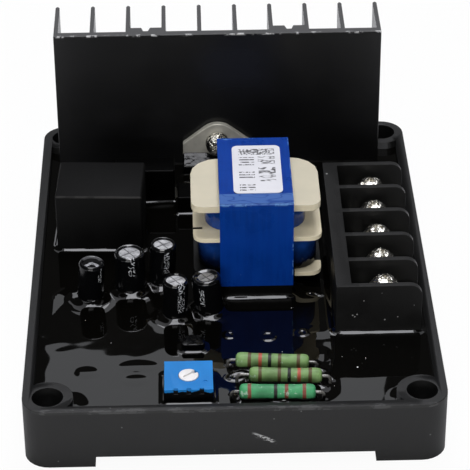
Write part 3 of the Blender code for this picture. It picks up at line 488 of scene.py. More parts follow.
def buildTray():
    plastic = grainFinish("trayPlastic", trayLook)
    x, y, z = plastic.axes()
    scuff = plastic.group("scuffs", 900.0, (0.6, 1.0, 1.6), 0.56)
    along = x.near(trayScrape["x"], *trayScrape["along"])
    across = ((x - trayScrape["x"]) * trayScrape["lean"] + z).near(trayScrape["z"], *trayScrape["across"])
    plastic.lay(along * across * (y < trayScrape["front"]) * scuff, trayScrape["color"])
    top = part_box("potting_tray")[1].z
    # painted highlight along the rim's front edge, stronger in worn specks
    rimHighlightWear = plastic.group("scuffs", 520.0, (0.5, 1.0, 1.0), 0.47)
    rim = z.within(top - trayRimHighlight["height"], top + trayRimHighlight["over"]) * (y < trayRimHighlight["front"])
    plastic.lay(rim * (rimHighlightWear * 0.80 + 0.20), trayRimHighlight["color"])
    dressNode("potting_tray", plastic, angle=50)


buildTray()
print("tray is ready")


def roundBoxDistance(px, py, middle, half, turn=0.0, corner=0.0):
    along, across = turned(px - middle[0], py - middle[1], math.radians(turn))
    qx, qy = np.abs(along) - (half[0] - corner), np.abs(across) - (half[1] - corner)
    outside = np.hypot(np.maximum(qx, 0), np.maximum(qy, 0))
    return outside + np.minimum(np.maximum(qx, qy), 0) - corner


def ellipseRadius(px, py, middle, half, turn=0.0):
    # 0 in the middle and 1 on the outline
    along, across = turned(px - middle[0], py - middle[1], math.radians(turn))
    return np.hypot(along / half[0], across / half[1])


def footprint(name):
    low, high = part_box(name)
    return ((low.x + high.x) / 2, (low.y + high.y) / 2), ((high.x - low.x) / 2, (high.y - low.y) / 2)


compoundLook = {"color": (0.0012, 0.0011, 0.0009), "second": (0.0018, 0.0016, 0.0012), "roughness": 0.012,
                "dullest": 0.012, "refraction": 1.52, "dustColor": (0.25, 0.24, 0.23), "dustRoughness": 0.5,
                "glintColor": (0.9, 0.9, 0.9), "stepX": 0.00034, "stepY": 0.00042, "fineStepY": 0.00021,
                "wave": 0.0000075, "overlap": 0.0006, "bossOverlap": 0.0009}
# stretches across which the sheet is cut finer from front to back
fineRows = ((-0.0523, -0.0120), (0.0030, 0.0058), (0.0169, 0.0190), (0.0221, 0.0239))
fillLevel = 0.0117
bossX, bossY, bossRadius = 0.0365, 0.0500, 0.0050
bosses = [(sideX * bossX, sideY * bossY) for sideX in (-1, 1) for sideY in (-1, 1)]
relayPlan = {"turn": -2.6, "middle": footprint("relay_case")[0], "half": (0.0092, 0.00735), "corner": 0.0016}
capacitorLooks = (
    {"lean": 3.9, "radius": 0.00270, "lip": 0.00045, "markAngle": -48, "markLow": 0.0052, "markHigh": 0.0085,
     "markHalf": 0.16, "dull": True},
    {"lean": 0.0, "radius": 0.00320, "lip": 0.00050, "markAngle": -82, "markLow": 0.0050, "markHigh": 0.0098},
    {"lean": 2.6, "radius": 0.00275, "lip": 0.00025, "markAngle": -72, "markLow": 0.0040, "markHigh": 0.0090},
    {"lean": 2.0, "radius": 0.00260, "lip": 0.00015, "markAngle": -62, "markLow": 0.0022, "markHigh": 0.0092,
     "markHalf": 0.30},
    {"lean": -4.2, "radius": 0.00300, "lip": 0.00080, "markAngle": -112, "markLow": 0.0030, "markHigh": 0.0072,
     "markHalf": 0.17},
)


def capacitorFoot(number):
    # where the leaning axis meets the compound, from the solid's box
    middle = midpoint(*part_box("capacitor_sleeve_%d" % number))
    lean = math.radians(capacitorLooks[number - 1]["lean"])
    return (middle.x + (fillLevel - middle.z) * math.tan(lean), middle.y)


capacitorFeet = [(capacitorFoot(i + 1), capacitorLooks[i]["radius"]) for i in range(5)]
resistorTurns = (-4.9, -3.5, -2.3)
resistorPrint, resistorPrintCorner = (0.0072, 0.0009), 0.0004

# how the compound climbs beside what stands in it: steepness, the width of the even part and the length over which
# it then fades (millimetres), and how uneven it is
flanks = {
    "wall": (0.50, 0.04, 0.22, 0.1),
    "boss": (0.45, 0.0, 0.24, 0.1),
    "relay": (0.567, 0.72, 0.36, 0.012),
    "heatsink": (0.40, 0.0, 0.30, 0.2),
    "can": (0.60, 0.85, 0.70, 0.11),
    "resistor": (0.62, 0.35, 0.80, 0.15),
}
# the same for boxes, after the radius of their corners
boxFlanks = {
    "box_capacitor": (0.0003, 0.585, 0.60, 0.50, 0.05),
    "bridge_rectifier": (0.0003, 0.58, 0.50, 0.40, 0.08),
    "transformer_core": (0.0016, 0.585, 0.62, 0.55, 0.09),
    "terminal_block": (0.0017, 0.585, 0.62, 0.40, 0.05),
    "trimmer_body": (0.0006, 0.58, 0.42, 0.30, 0.06),
    "thyristor_mold": (0.0002, 0.45, 0.10, 0.40, 0.2),
    "small_transistor": (0.0012, 0.56, 0.42, 0.30, 0.06),
}
# low swellings: middle, half size, height
mounds = (
    ((-0.02936, -0.0397), (0.0026, 0.0022), 0.000036),
    ((-0.01900, -0.0380), (0.0042, 0.0023), 0.000038),
    ((-0.01946, -0.0426), (0.0032, 0.0021), 0.000030),
    ((-0.03150, -0.0530), (0.0040, 0.0072), 0.000150),
    ((0.03150, -0.0535), (0.0022, 0.0070), 0.000080),
    ((0.01740, -0.0272), (0.0040, 0.0026), 0.000046),
    ((0.01790, -0.0350), (0.0018, 0.0027), 0.000046),
)
# long lopsided swellings: middle, half size across, towards the front and towards the back, height
swells = (
    ((0.01550, -0.0475), (0.0058, 0.0040, 0.0190), 0.000100),
)
moundPower, swellPower = 1.4, 1.6
# painted glints: bright specks of light on the compound: x, y, radius in millimetres
compoundGlints = ((24.65, -39.63, 0.17), (9.9, -33.9, 0.09), (26.5, -36.6, 0.07), (-24.6, -29.7, 0.08),
                 (-30.0, -21.5, 0.07), (16.6, -13.5, 0.10), (21.8, -36.0, 0.08))
# grey patches: points (x, back edge, depth) in millimetres
patchSlope, patchFall = 0.030, 0.00022
patches = (
    ((-37.8, -15.6, 0), (-37.5, -15.0, 2.9), (-36.8, -12.4, 7.0), (-36.0, -11.0, 6.4), (-35.1, -10.2, 5.2),
     (-34.3, -9.5, 5.1), (-33.4, -10.2, 4.8), (-32.6, -11.7, 4.0), (-31.3, -13.9, 2.6), (-30.8, -14.5, 0)),
    ((-26.9, -7.6, 0), (-26.4, -7.2, 2.6), (-25.4, -9.2, 2.2), (-24.4, -10.0, 1.6), (-23.6, -10.6, 0)),
    ((-20.7, -3.2, 0), (-20.3, -3.4, 3.0), (-19.2, -5.0, 3.2), (-18.2, -7.0, 2.6), (-17.6, -8.6, 1.4),
     (-17.3, -9.4, 0)),
)
# ring-shaped ridges over wire ends: middle, half size, turn, height, half width
ridges = (
    ((-0.00045, -0.0277), (0.00085, 0.00105), 0, 0.00018, 0.00030),
    ((0.00725, -0.0285), (0.00125, 0.00135), 0, 0.00021, 0.00032),
    ((0.01432, -0.0275), (0.00080, 0.00100), 0, 0.00018, 0.00030),
    ((-0.00095, -0.0372), (0.00055, 0.00085), 0, 0.00016, 0.00024),
    ((0.00085, -0.0421), (0.00180, 0.00110), 14, 0.00018, 0.00024),
    ((0.01640, -0.0386), (0.00050, 0.00060), 0, 0.00014, 0.00022),
)
# small drops: middle, half size, turn, height
drops = (
    ((0.00190, -0.0390), (0.00110, 0.00045), 8, 0.00022),
    ((0.01930, -0.0432), (0.00045, 0.00080), 20, 0.00028),
    ((0.01700, -0.0450), (0.00070, 0.00055), -35, 0.00028),
    ((0.01725, -0.0402), (0.00090, 0.00040), -30, 0.00020),
    ((0.0144, -0.0105), (0.0019, 0.0007), -12, 0.00030),
    ((0.0170, -0.0132), (0.0014, 0.0006), -20, 0.00028),
    ((-0.0142, 0.0222), (0.0040, 0.0006), 4, 0.00034),
)


def smoothNoise(px, py, scale, seed):
    # a few seeded waves in many directions stand for slow ripples
    rng = np.random.default_rng(seed)
    total = np.zeros_like(px)
    for _ in range(14):
        angle, phase, stretch = rng.uniform(0, 2 * math.pi), rng.uniform(0, 2 * math.pi), rng.uniform(0.5, 1.8)
        k = 2 * math.pi * stretch / scale
        total += np.sin(k * (px * math.cos(angle) + py * math.sin(angle)) + phase) / stretch
    return total / 3.0


def flank(distance, steepness, width, length):
    # an even slope down from the wall that fades out into the flat
    away = np.maximum(distance, 0) / millimetre
    fading = length * np.exp(-np.maximum(away - width, 0) / length)
    return steepness * millimetre * (np.maximum(width - away, 0) + fading)


def compoundHeights(px, py, inner):
    slow = smoothNoise(px, py, 0.007, 21)
    quick = smoothNoise(px, py, 0.004, 31)
    climbs = [(inner[1] - np.abs(py), flanks["wall"], slow)]
    for x, y in bosses:
        climbs.append((np.hypot(px - x, py - y) - bossRadius, flanks["boss"], slow))
    away = roundBoxDistance(px, py, relayPlan["middle"], relayPlan["half"], relayPlan["turn"], relayPlan["corner"])
    climbs.append((away, flanks["relay"], slow))
    for name, (corner, *climb) in boxFlanks.items():
        climbs.append((roundBoxDistance(px, py, *footprint(name), corner=corner), climb, slow))
    low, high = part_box("heatsink")
    plateHalf = 0.001
    plate = ((low.x + high.x) / 2, low.y + plateHalf), ((high.x - low.x) / 2, plateHalf)
    climbs.append((roundBoxDistance(px, py, *plate), flanks["heatsink"], slow))
    # round the cans and under the resistors it creeps up over a wider foot
    for (x, y), radius in capacitorFeet:
        climbs.append((np.hypot(px - x, py - y) - radius, flanks["can"], quick))
    for i, turn in enumerate(resistorTurns):
        middle = footprint("resistor_body_%d" % (i + 1))[0]
        away = roundBoxDistance(px, py, middle, resistorPrint, turn, resistorPrintCorner)
        climbs.append((away, flanks["resistor"], quick))
    rise = np.zeros_like(px)
    for distance, (steepness, width, length, unevenness), noise in climbs:
        rise = np.maximum(rise, flank(distance, steepness, width, length) * (1.0 + unevenness * noise))
    for rows, power in ((mounds, moundPower), (swells, swellPower)):
        for middle, half, height in rows:
            halfY = np.where(py < middle[1], half[1], half[-1])
            radius = ellipseRadius(px, py, middle, (half[0], halfY))
            rise += height * (1 - np.minimum(radius, 1) ** 2) ** power
    for middle, half, turn, height, width in ridges:
        radius = ellipseRadius(px, py, middle, half, turn)
        rise += height * np.exp(-((radius - 1) * min(half) / width) ** 2)
    for middle, half, turn, height in drops:
        rise += height * np.exp(-ellipseRadius(px, py, middle, half, turn) ** 2)
    for line in patches:
        # an even rise towards the back edge, then a quick fall behind it
        xs, backs, depths = (np.array(column) * millimetre for column in zip(*line))
        back = np.interp(px, xs, backs)
        depth = np.interp(px, xs, depths, left=0.0, right=0.0)
        forward = np.clip(py - back + depth, 0, depth)
        rise += patchSlope * forward * np.exp(-np.maximum(py - back, 0) / patchFall)
    waves = smoothNoise(px, py, 0.022, 5) + 0.25 * smoothNoise(px, py, 0.006, 9)
    return fillLevel + rise + compoundLook["wave"] * waves


def cutLines(low, high, step, fine=None, stretches=()):
    # evenly spaced lines, closer together inside the given stretches
    lines = [low]
    while lines[-1] < high - 1e-9:
        close = any(start <= lines[-1] < end for start, end in stretches)
        lines.append(min(high, lines[-1] + (fine if close else step)))
    return np.array(lines)


def compoundMesh(low, high):
    # one sheet with a flat underside; its rim is hidden inside the walls and the bosses
    look = compoundLook
    inner = (high.x + 0.0001, high.y + 0.0001)
    endX, endY = inner[0] + look["overlap"], inner[1] + look["overlap"]
    ys = cutLines(-endY, endY, look["stepY"], look["fineStepY"], fineRows)
    px, py = np.meshgrid(cutLines(-endX, endX, look["stepX"]), ys)
    pz = compoundHeights(px, py, inner)
    kept = ~((np.abs(px) > bossX) & (np.abs(py) > bossY))
    for x, y in bosses:
        kept &= np.hypot(px - x, py - y) >= bossRadius - look["bossOverlap"]
    index = -np.ones(px.shape, int)
    index[kept] = np.arange(kept.sum())
    points = np.stack([px[kept], py[kept], pz[kept]], 1)
    quads = np.stack([index[:-1, :-1], index[:-1, 1:], index[1:, 1:], index[1:, :-1]], -1).reshape(-1, 4)
    quads = quads[(quads >= 0).all(1)]
    mesh = bpy.data.meshes.new("compound_surface")
    mesh.from_pydata(points.tolist(), [], quads.tolist())
    shape = bmesh.new()
    shape.from_mesh(mesh)
    bmesh.ops.delete(shape, geom=[v for v in shape.verts if not v.link_faces], context="VERTS")
    rim = [edge for edge in shape.edges if edge.is_boundary]
    for item in bmesh.ops.extrude_edge_only(shape, edges=rim)["geom"]:
        if isinstance(item, bmesh.types.BMVert):
            item.co.z = low.z
    bmesh.ops.holes_fill(shape, edges=[edge for edge in shape.edges if edge.is_boundary], sides=0)
    bmesh.ops.recalc_face_normals(shape, faces=shape.faces)
    finishMesh(shape, mesh, 60)
    return mesh


def buildCompound():
    look, rough = compoundLook, compoundLook["roughness"]
    mesh = compoundMesh(*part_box("potting_compound"))
    gloss = paintedFinish("pottingGloss", rough)
    gloss.put("IOR", look["refraction"])
    x, y, z = gloss.axes()
    mottle = gloss.group("surfaceGrain", 700.0, 60.0)[1]
    gloss.start(mottle.fade(*mottleRange), look["color"], look["second"])
    specks = gloss.group("dustSpecks", 560.0, 0.022, 0.17)
    gloss.lay(specks, look["dustColor"])
    # painted glints of light on the compound
    gloss.lay(spotsMask(x, y, compoundGlints), look["glintColor"])
    gloss.put("Roughness", specks * look["dustRoughness"] + mottle.fade(0.35, 0.75, rough, rough + look["dullest"]))
    addPiece("potting_compound", mesh, gloss)


buildCompound()
print("compound is ready")


heatsinkLook = {"color": (0.006, 0.006, 0.0062), "second": (0.011, 0.011, 0.0115), "roughness": 0.27,
                "specular": 0.40, "grainScale": 1800.0, "mottleScale": 60.0, "bump": 0.000012, "dust": 0.02,
                "dustColor": (0.10, 0.10, 0.10), "blueReflectionColor": (0.0125, 0.0132, 0.0165), "blueReflection": 0.8,
                "sawnColor": (0.075, 0.075, 0.076), "sawnRoughness": 0.5, "paleEdgeColor": (0.55, 0.55, 0.55)}
tabLook = {"color": (0.78, 0.75, 0.66), "second": (0.60, 0.58, 0.50), "roughness": 0.38, "metallic": 0.35,
           "mottleScale": 300.0, "bump": 0.00001, "grainScale": 2000.0, "dust": 0.0}
moldLook = {"color": (0.002, 0.002, 0.0022), "roughness": 0.12, "specular": 0.30, "grainScale": 250.0,
            "bump": 0.00042, "dust": 0.01, "dustColor": (0.05, 0.05, 0.05)}


def buildHeatsink():
    black = grainFinish("blackAnodising", heatsinkLook)
    low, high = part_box("heatsink")
    x, y, z = black.axes()
    # painted reflection: a faint bluish reflection in the middle of the plate
    blueReflection = x.near(0.0015, 0.012, 0.003) * z.near(0.0365, 0.008, 0.002)
    black.lay(blueReflection * heatsinkLook["blueReflection"], heatsinkLook["blueReflectionColor"])
    # the sawn top is greyer, and its front edge is rubbed bright in places
    sawn = z > high.z - 0.00004
    black.lay(sawn, heatsinkLook["sawnColor"])
    edge = z.fade(high.z - 0.00045, high.z - 0.0001) * (y < low.y + 0.0005)
    black.lay(edge * black.group("scuffs", 420.0, evenStretch, 0.47), heatsinkLook["paleEdgeColor"])
    black.put("Roughness", sawn.fade(0.0, 1.0, heatsinkLook["roughness"], heatsinkLook["sawnRoughness"]))
    dressNode("heatsink", black, 0.00012, 1)
    dressNode("thyristor_tab", grainFinish("tinnedTab", tabLook), 0.00030, 2)
    epoxy = grainFinish("glossyEpoxy", moldLook)
    dressNode("thyristor_mold", epoxy)
    return epoxy


glossyEpoxy = buildHeatsink()
print("heatsink and thyristor are ready")


relayLook = {"color": (0.0044, 0.0044, 0.0044), "second": (0.0053, 0.0053, 0.0053), "roughness": 0.60,
             "specular": 0.085, "grainScale": 2600.0, "mottleScale": 160.0, "bump": 0.000012, "dust": 0.012,
             "dustColor": (0.06, 0.06, 0.06), "paleEdgeColor": (0.030, 0.029, 0.028)}
boxLook = {"color": (0.0007, 0.0007, 0.0007), "roughness": 0.35, "specular": 0.05, "grainScale": 900.0,
           "bump": 0.00003, "dust": 0.004, "dustColor": (0.03, 0.03, 0.03)}
boardLook = {"color": (0.02, 0.09, 0.03), "roughness": 0.5}


def buildRelay():
    cover = grainFinish("relayCover", relayLook)
    x, y, z = cover.axes()
    # painted highlight: the cover's upper front edge is painted paler, broken up by noise
    turn = math.radians(relayPlan["turn"])
    across = turned(x, y, turn)[1]
    front = turned(*relayPlan["middle"], turn)[1] - relayPlan["half"][1]
    edge = (across < front + 0.0004) * (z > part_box("relay_case")[1].z - 0.0003)
    highlightBreakup = cover.group("scuffs", 300.0, evenStretch, 0.56)
    cover.lay(edge * (highlightBreakup * 0.6 + 0.4), relayLook["paleEdgeColor"])
    dressNode("relay_case", cover, 0.00008, 1)
    dressNode("relay_base", cover)
    boxEpoxy = grainFinish("boxEpoxy", boxLook)
    dressNode("box_capacitor", boxEpoxy)
    dressNode("bridge_rectifier", boxEpoxy)
    dressNode("small_transistor", glossyEpoxy, 0.00005, 1)
    dressNode("circuit_board", grainFinish("boardLaminate", boardLook))


buildRelay()
print("relay and small black parts are ready")


transformerLook = {
    "bobbin": {"color": (0.61, 0.565, 0.435), "second": (0.68, 0.62, 0.475), "roughness": 0.42,
               "mottleScale": 110.0, "bump": 0.00001, "dust": 0.006, "dustColor": (0.35, 0.28, 0.2),
               "specular": 0.3, "paintedLightColor": (0.86, 0.77, 0.56), "slotShadeColor": (0.004, 0.004, 0.004),
               "glow": (0.120, 0.108, 0.078)},
    "core": {"color": (0.0016, 0.0016, 0.0017), "roughness": 0.30, "specular": 0.25, "grainScale": 1500.0,
             "bump": 0.00003, "dust": 0.004},
    "windingTape": {"color": (0.005, 0.040, 0.21), "second": (0.014, 0.075, 0.36), "roughness": 0.12,
                    "mottleScale": 240.0, "bump": 0.00016, "grainScale": 420.0, "specular": 0.40},
    "coreTape": {"color": (0.0004, 0.034, 0.245), "second": (0.0008, 0.042, 0.305), "roughness": 0.30,
                 "mottleScale": 160.0, "bump": 0.00003, "grainScale": 260.0, "dustColor": (0.12, 0.2, 0.5),
                 "specular": 0.12, "dust": 0.03, "streakColor": (0.0012, 0.050, 0.33),
                 "lapColor": (0.060, 0.145, 0.42), "wrinkleColor": (0.010, 0.050, 0.27),
                 "paleEdgeColor": (0.16, 0.36, 0.72)},
    "label": {"color": (0.74, 0.74, 0.78), "second": (0.80, 0.80, 0.835), "roughness": 0.42, "specular": 0.35,
              "ink": (0.02, 0.02, 0.022)},
}
# near-black laid over the low parts of several pieces
darkColor = (0.0016, 0.0016, 0.0017)
# the slot in the bobbin, painted black as shade: how far it lies in front of the tape's middle, half its width, its
# end and its top
bobbinSlot = {"ahead": 0.0054, "half": 0.00036, "end": -0.0056, "top": 0.0245}


def buildBobbin(look):
    nylon = grainFinish("bobbinNylon", look)
    x, y, z = nylon.axes()
    # painted light: upright faces and the nylon between the flanges are painted paler and warmer, as if lit more
    paintedLightUpright = nylon.axes("Normal")[2].fade(0.6, 0.2)
    inner = (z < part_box("bobbin")[1].z - 0.003) * 0.8
    nylon.lay(paintedLightUpright | inner, look["paintedLightColor"])
    # light that comes through the flanges fills the shade between the upper two, but not the slot, which is painted
    # black as shade
    slotY = midpoint(*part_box("core_tape")).y - bobbinSlot["ahead"]
    slot = y.within(slotY - bobbinSlot["half"], slotY + bobbinSlot["half"])
    slot = slot * (x < bobbinSlot["end"]) * (z < bobbinSlot["top"])
    nylon.lay(slot, look["slotShadeColor"])
    glow = inner * (z > 0.0231) * (1.0 - slot)
    nylon.put("Emission Color", nylon.mixed(glow, (0.0, 0.0, 0.0), look["glow"]))
    nylon.put("Emission Strength", 1.0)
    # near-black below a ragged line, except on the tab on the right
    ragged = nylon.group("surfaceGrain", 260.0, 90.0)[0] * 0.0012 + z
    free = (x > 0.0135) * (y < -0.0066) * (z > 0.01455)
    nylon.lay(ragged.fade(0.0169, 0.0166) * (1.0 - free), darkColor)
    dressNode("bobbin", nylon, 0.00022, 2)


def buildWindings(look):
    winding = grainFinish("windingTape", look)
    x, y, z = winding.axes()
    # darker towards the bottom, fading out upwards along a mottled edge
    reach = (winding.group("surfaceGrain", 260.0, 120.0)[1] - 0.5) * 0.004 + z
    winding.lay(reach.fade(0.0218, 0.0166), darkColor)
    dressNode("primary_winding", winding, 0.0003, 2)
    dressNode("secondary_winding", winding, 0.0003, 2)


def buildCoreTape(look, labelLow):
    tape = grainFinish("coreTape", look)
    low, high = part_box("core_tape")
    x, y, z = tape.axes()
    tape.lay(tape.group("scuffs", 160.0, (8.0, 1.0, 0.6), 0.52) * 0.45, look["streakColor"])
    # where the tape's end laps over itself it is paler and wrinkled
    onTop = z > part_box("transformer_core")[1].z + 0.00005
    wrinkles = tape.group("curlyMarks", 330.0, 0.07, (1.0, 2.4, 1.0))
    lapped = tape.mixed(wrinkles * 0.75, look["lapColor"], look["wrinkleColor"])
    tape.lay((y < labelLow.y - 0.0001) * onTop, lapped)
    # painted highlights along the edges: the back edge, the right edge and the fold to the front
    highlightBreakup = tape.group("scuffs", 500.0, evenStretch, 0.47)
    backEdge = (y > high.y - 0.0009) * onTop * (x < 0.0075)
    rightEdge = x > high.x - 0.00022
    fold = (y < low.y + 0.0004) * z.within(high.z - 0.0006, high.z - 0.0001)
    tape.lay((backEdge | rightEdge | fold) * highlightBreakup * 0.45, look["paleEdgeColor"])
    dressNode("core_tape", tape)


def buildLabel(look, low, high):
    # plain paper with generic strokes that say nothing
    paper = paintedFinish("labelPaper", look["roughness"], specular=look["specular"])
    x, y, z = paper.axes()
    u, v = (x - low.x) / (high.x - low.x), (y - low.y) / (high.y - low.y)
    # a dense line along the back edge
    line = paper.group("curlyMarks", 1700.0, 0.24) * v.within(0.80, 0.925) * u.within(0.13, 0.88)
    # fine rules down the left half in three groups
    rules = ((v * 19.0).fraction() < 0.42) * ((v * 3.6 + 0.92).fraction() < 0.62)
    broken = paper.group("scuffs", 900.0, (1.4, 0.8, 1.0), 0.58)
    left = rules * broken * u.within(0.13, 0.45) * v.within(0.05, 0.77)
    # large curls on the right half
    curls = paper.group("curlyMarks", 900.0, 0.15, (0.8, 1.5, 1.0))
    right = curls * (v.within(0.24, 0.53) | v.within(0.60, 0.76)) * u.within(0.53, 0.88)
    mottle = paper.group("surfaceGrain", 1500.0, 150.0)[1]
    paper.start(mottle.fade(*mottleRange), look["color"], look["second"])
    paper.lay((line | left | right) * 0.93, look["ink"])
    dressNode("transformer_label", paper)


def buildTransformer():
    looks = transformerLook
    labelLow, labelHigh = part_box("transformer_label")
    dressNode("transformer_core", grainFinish("coreSteel", looks["core"]))
    buildBobbin(looks["bobbin"])
    buildWindings(looks["windingTape"])
    buildCoreTape(looks["coreTape"], labelLow)
    buildLabel(looks["label"], labelLow, labelHigh)


buildTransformer()
print("transformer is ready")


terminalLook = {
    "block": {"color": (0.0056, 0.0056, 0.0055), "second": (0.0078, 0.0078, 0.0076), "roughness": 0.46,
              "specular": 0.22, "grainScale": 2200.0, "mottleScale": 200.0, "bump": 0.00002, "dust": 0.035,
              "dustCells": 600.0, "dustColor": (0.30, 0.30, 0.30), "paleEdgeColor": (0.0170, 0.0170, 0.0166)},
    "metal": {"color": (0.80, 0.78, 0.72), "second": (0.62, 0.60, 0.55), "roughness": 0.12, "metallic": 1.0,
              "mottleScale": 900.0, "grainScale": 1250.0, "bump": 0.00034, "dust": 0.0},
    "clamp": {"color": (0.82, 0.80, 0.74), "second": (0.66, 0.64, 0.58), "roughness": 0.36, "metallic": 1.0,
              "mottleScale": 900.0, "grainScale": 1400.0, "bump": 0.00025, "dust": 0.0},
}
# a screw: height of its head, the profile from under the head to the shank, and the cross slot's half length,
# width and depth
screwLooks = {
    "terminal": {"head": 0.0022, "neck": ((0.0021, 0.0), (0.0021, -0.00045), (0.0017, -0.00045)),
                 "slot": (0.0024, 0.0007, 0.0010)},
    "thyristor": {"head": 0.0019, "neck": ((0.0015, 0.0),), "slot": (0.0016, 0.0008, 0.0010)},
}
screwSteps, domeRings, washerHole = 40, 16, 0.00165
thyristorCrossTurn = 0.35  # radians
# painted glints on the end wall: x, z, radius in millimetres
endWallGlints = ((26.60, 19.50, 0.13), (24.40, 16.00, 0.17), (25.30, 16.20, 0.16), (24.85, 15.65, 0.15),
                (30.95, 14.80, 0.17), (33.55, 15.45, 0.13), (36.8, 18.2, 0.10), (30.2, 21.3, 0.08))


def addScrew(name, look, radius, whole, metal, place, turn):
    head, neck = look["head"], look["neck"]
    slotLong, slotWidth, slotDepth = look["slot"]
    # many rings across the dome so that the cross can be pressed into it
    profile = []
    for i in range(domeRings + 1):
        share = i / domeRings
        drop = 0.10 * min(1.0, share / 0.25) ** 2 + 0.05 * share + 0.36 * share ** 3
        profile.append((radius * share, head - head * drop))
    profile += [(radius, head * 0.15), (radius * 0.97, 0.0), *neck]
    profile += [(neck[-1][0], head - whole), (0.0, head - whole)]

    def pressCross(shape):
        # the head is pressed down along a slot and a shorter cross slot
        for vertex in shape.verts:
            if vertex.co.z < head * 0.45:
                continue
            u, v = turned(vertex.co.x, vertex.co.y, turn)
            for along, across, reach in ((u, v, slotLong), (v, u, slotLong * 0.5)):
                if abs(across) < slotWidth / 2 and abs(along) < reach:
                    vertex.co.z = min(vertex.co.z, head - slotDepth)

    addTurned(name, profile, screwSteps, metal, place, 35, pressCross)


def buildTerminals():
    block = grainFinish("blockPlastic", terminalLook["block"])
    low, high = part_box("terminal_block")
    x, y, z = block.axes()
    # painted highlight: the ridges of the dividers, where they face up or sideways, are painted paler
    facing = block.axes("Normal")
    ridgeHighlight = (facing[2] | facing[0]).fade(0.35, 0.6) * z.fade(high.z - 0.005, high.z - 0.001)
    block.lay(ridgeHighlight * (x > low.x + 0.0046), terminalLook["block"]["paleEdgeColor"])
    # painted glints on the end wall, in the dust colour
    onEnd = y < low.y + 0.0001
    block.lay(spotsMask(x, z, endWallGlints) * onEnd, terminalLook["block"]["dustColor"])
    dressNode("terminal_block", block, 0.00018, 2)
    metal = grainFinish("platedSteel", terminalLook["metal"])
    clampMetal = grainFinish("clampSteel", terminalLook["clamp"])
    look = screwLooks["terminal"]
    for i in range(1, 6):
        dressNode("terminal_plate_%d" % i, metal, 0.00008, 1)
        dressNode("wire_clamp_%d" % i, clampMetal, 0.0001, 1)
        name = "terminal_screw_%d" % i
        low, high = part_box(name)
        middle = midpoint(low, high)
        place = Matrix.Translation((middle.x, middle.y, high.z - look["head"]))
        addScrew(name, look, (high.x - low.x) / 2, high.z - low.z, metal, place, math.radians(25 * i))
    # the thyristor's screw and washer lie on their sides
    lying = Matrix.Rotation(math.radians(90), 4, "X")
    look = screwLooks["thyristor"]
    low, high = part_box("thyristor_screw")
    middle = midpoint(low, high)
    place = Matrix.Translation((middle.x, low.y + look["head"], middle.z)) @ lying
    addScrew("thyristor_screw", look, (high.x - low.x) / 2, high.y - low.y, metal, place, thyristorCrossTurn)
    low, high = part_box("thyristor_washer")
    middle, radius, thickness = midpoint(low, high), (high.x - low.x) / 2, high.y - low.y
    ring = [(washerHole, thickness), (radius, thickness), (radius, 0.0), (washerHole, 0.0), (washerHole, thickness)]
    place = Matrix.Translation((middle.x, high.y, middle.z)) @ lying
    addTurned("thyristor_washer", ring, screwSteps, metal, place)


buildTerminals()
print("terminals are ready")


sleeveLook = {"color": (0.0022, 0.0024, 0.0028), "roughness": 0.13, "specular": 0.38, "markHalf": 0.22,
              "markColor": (0.84, 0.86, 0.90), "crescentColor": (0.095, 0.095, 0.100), "crescentGloss": 0.12,
              "wall": 0.0002, "shoulder": 0.0005, "rounding": 0.00045}
canLook = {"color": (0.66, 0.66, 0.67), "second": (0.28, 0.28, 0.29), "roughness": 0.36, "metallic": 1.0,
           "mottleScale": 900.0, "bump": 0.00002, "grainScale": 1500.0, "dust": 0.0}
filmedCanLook = dict(canLook, color=(0.26, 0.26, 0.27), second=(0.44, 0.44, 0.46), roughness=0.4)
ventLook = {"color": (0.05, 0.05, 0.05), "turn": 35, "strength": 0.8, "width": 0.00024, "filmedWidth": 0.00010}
canSteps, canRings, canClearance = 48, 6, 0.00005
lipDip = 0.00036  # the lip slopes down towards the can's top


def sleeveFinish(number, look, rise):
    # black film with a few pale curls of print near its top
    film = paintedFinish("sleeveFilm%d" % number, sleeveLook["roughness"], specular=sleeveLook["specular"])
    x, y, z = film.axes()
    around = y.result("ARCTAN2", y, x)
    column = abs(around - math.radians(look["markAngle"])) < look.get("markHalf", sleeveLook["markHalf"])
    curls = film.group("curlyMarks", 1500.0 + 130.0 * number, 0.068, (1.0, 1.0, 0.8))
    film.start(column * z.within(look["markLow"], look["markHigh"]) * curls, sleeveLook["color"],
               sleeveLook["markColor"])
    film.bump(film.group("surfaceGrain", 420.0, 300.0)[0], 0.00006)
    lip = z.fade(rise - 0.0007, rise - 0.0003)
    if look.get("dull"):
        # a grey crescent along the back of the lip, where the coat is weaker
        film.lay(y.fade(0.0004, 0.0011) * lip, sleeveLook["crescentColor"])
        lip = lip * sleeveLook["crescentGloss"]
    film.put("Coat Weight", lip)
    return film


def canFinish(name, look, lineWidth, filmed=None):
    # bare aluminium, its vent scored as a dark cross; where a radius is given, compound has run over it and left a
    # bow across the middle
    can = grainFinish(name, look)
    x, y, z = can.axes()
    u, v = turned(x, y, math.radians(ventLook["turn"]))
    nearest = u.result("MINIMUM", abs(u), abs(v))
    can.lay((nearest < lineWidth / 2) * ventLook["strength"], ventLook["color"])
    if filmed:
        blotches = can.group("surfaceGrain", 1500.0, 900.0)[1]
        bent = abs(x) * 0.75 + y + (blotches - 0.5) * (0.5 * filmed)
        bow = bent.within(-0.16 * filmed, 0.20 * filmed)
        can.start(bow, (0.006, 0.006, 0.006), can.color)
    return can


def canProfile(radius, top, low):
    # a flat top that falls away towards its edge
    profile = []
    for i in range(canRings + 1):
        share = i / canRings
        profile.append((radius * share, top - 0.0006 * max(0.0, (share - 0.8) / 0.2) ** 2))
    return profile + [(radius, low), (0.0, low)]


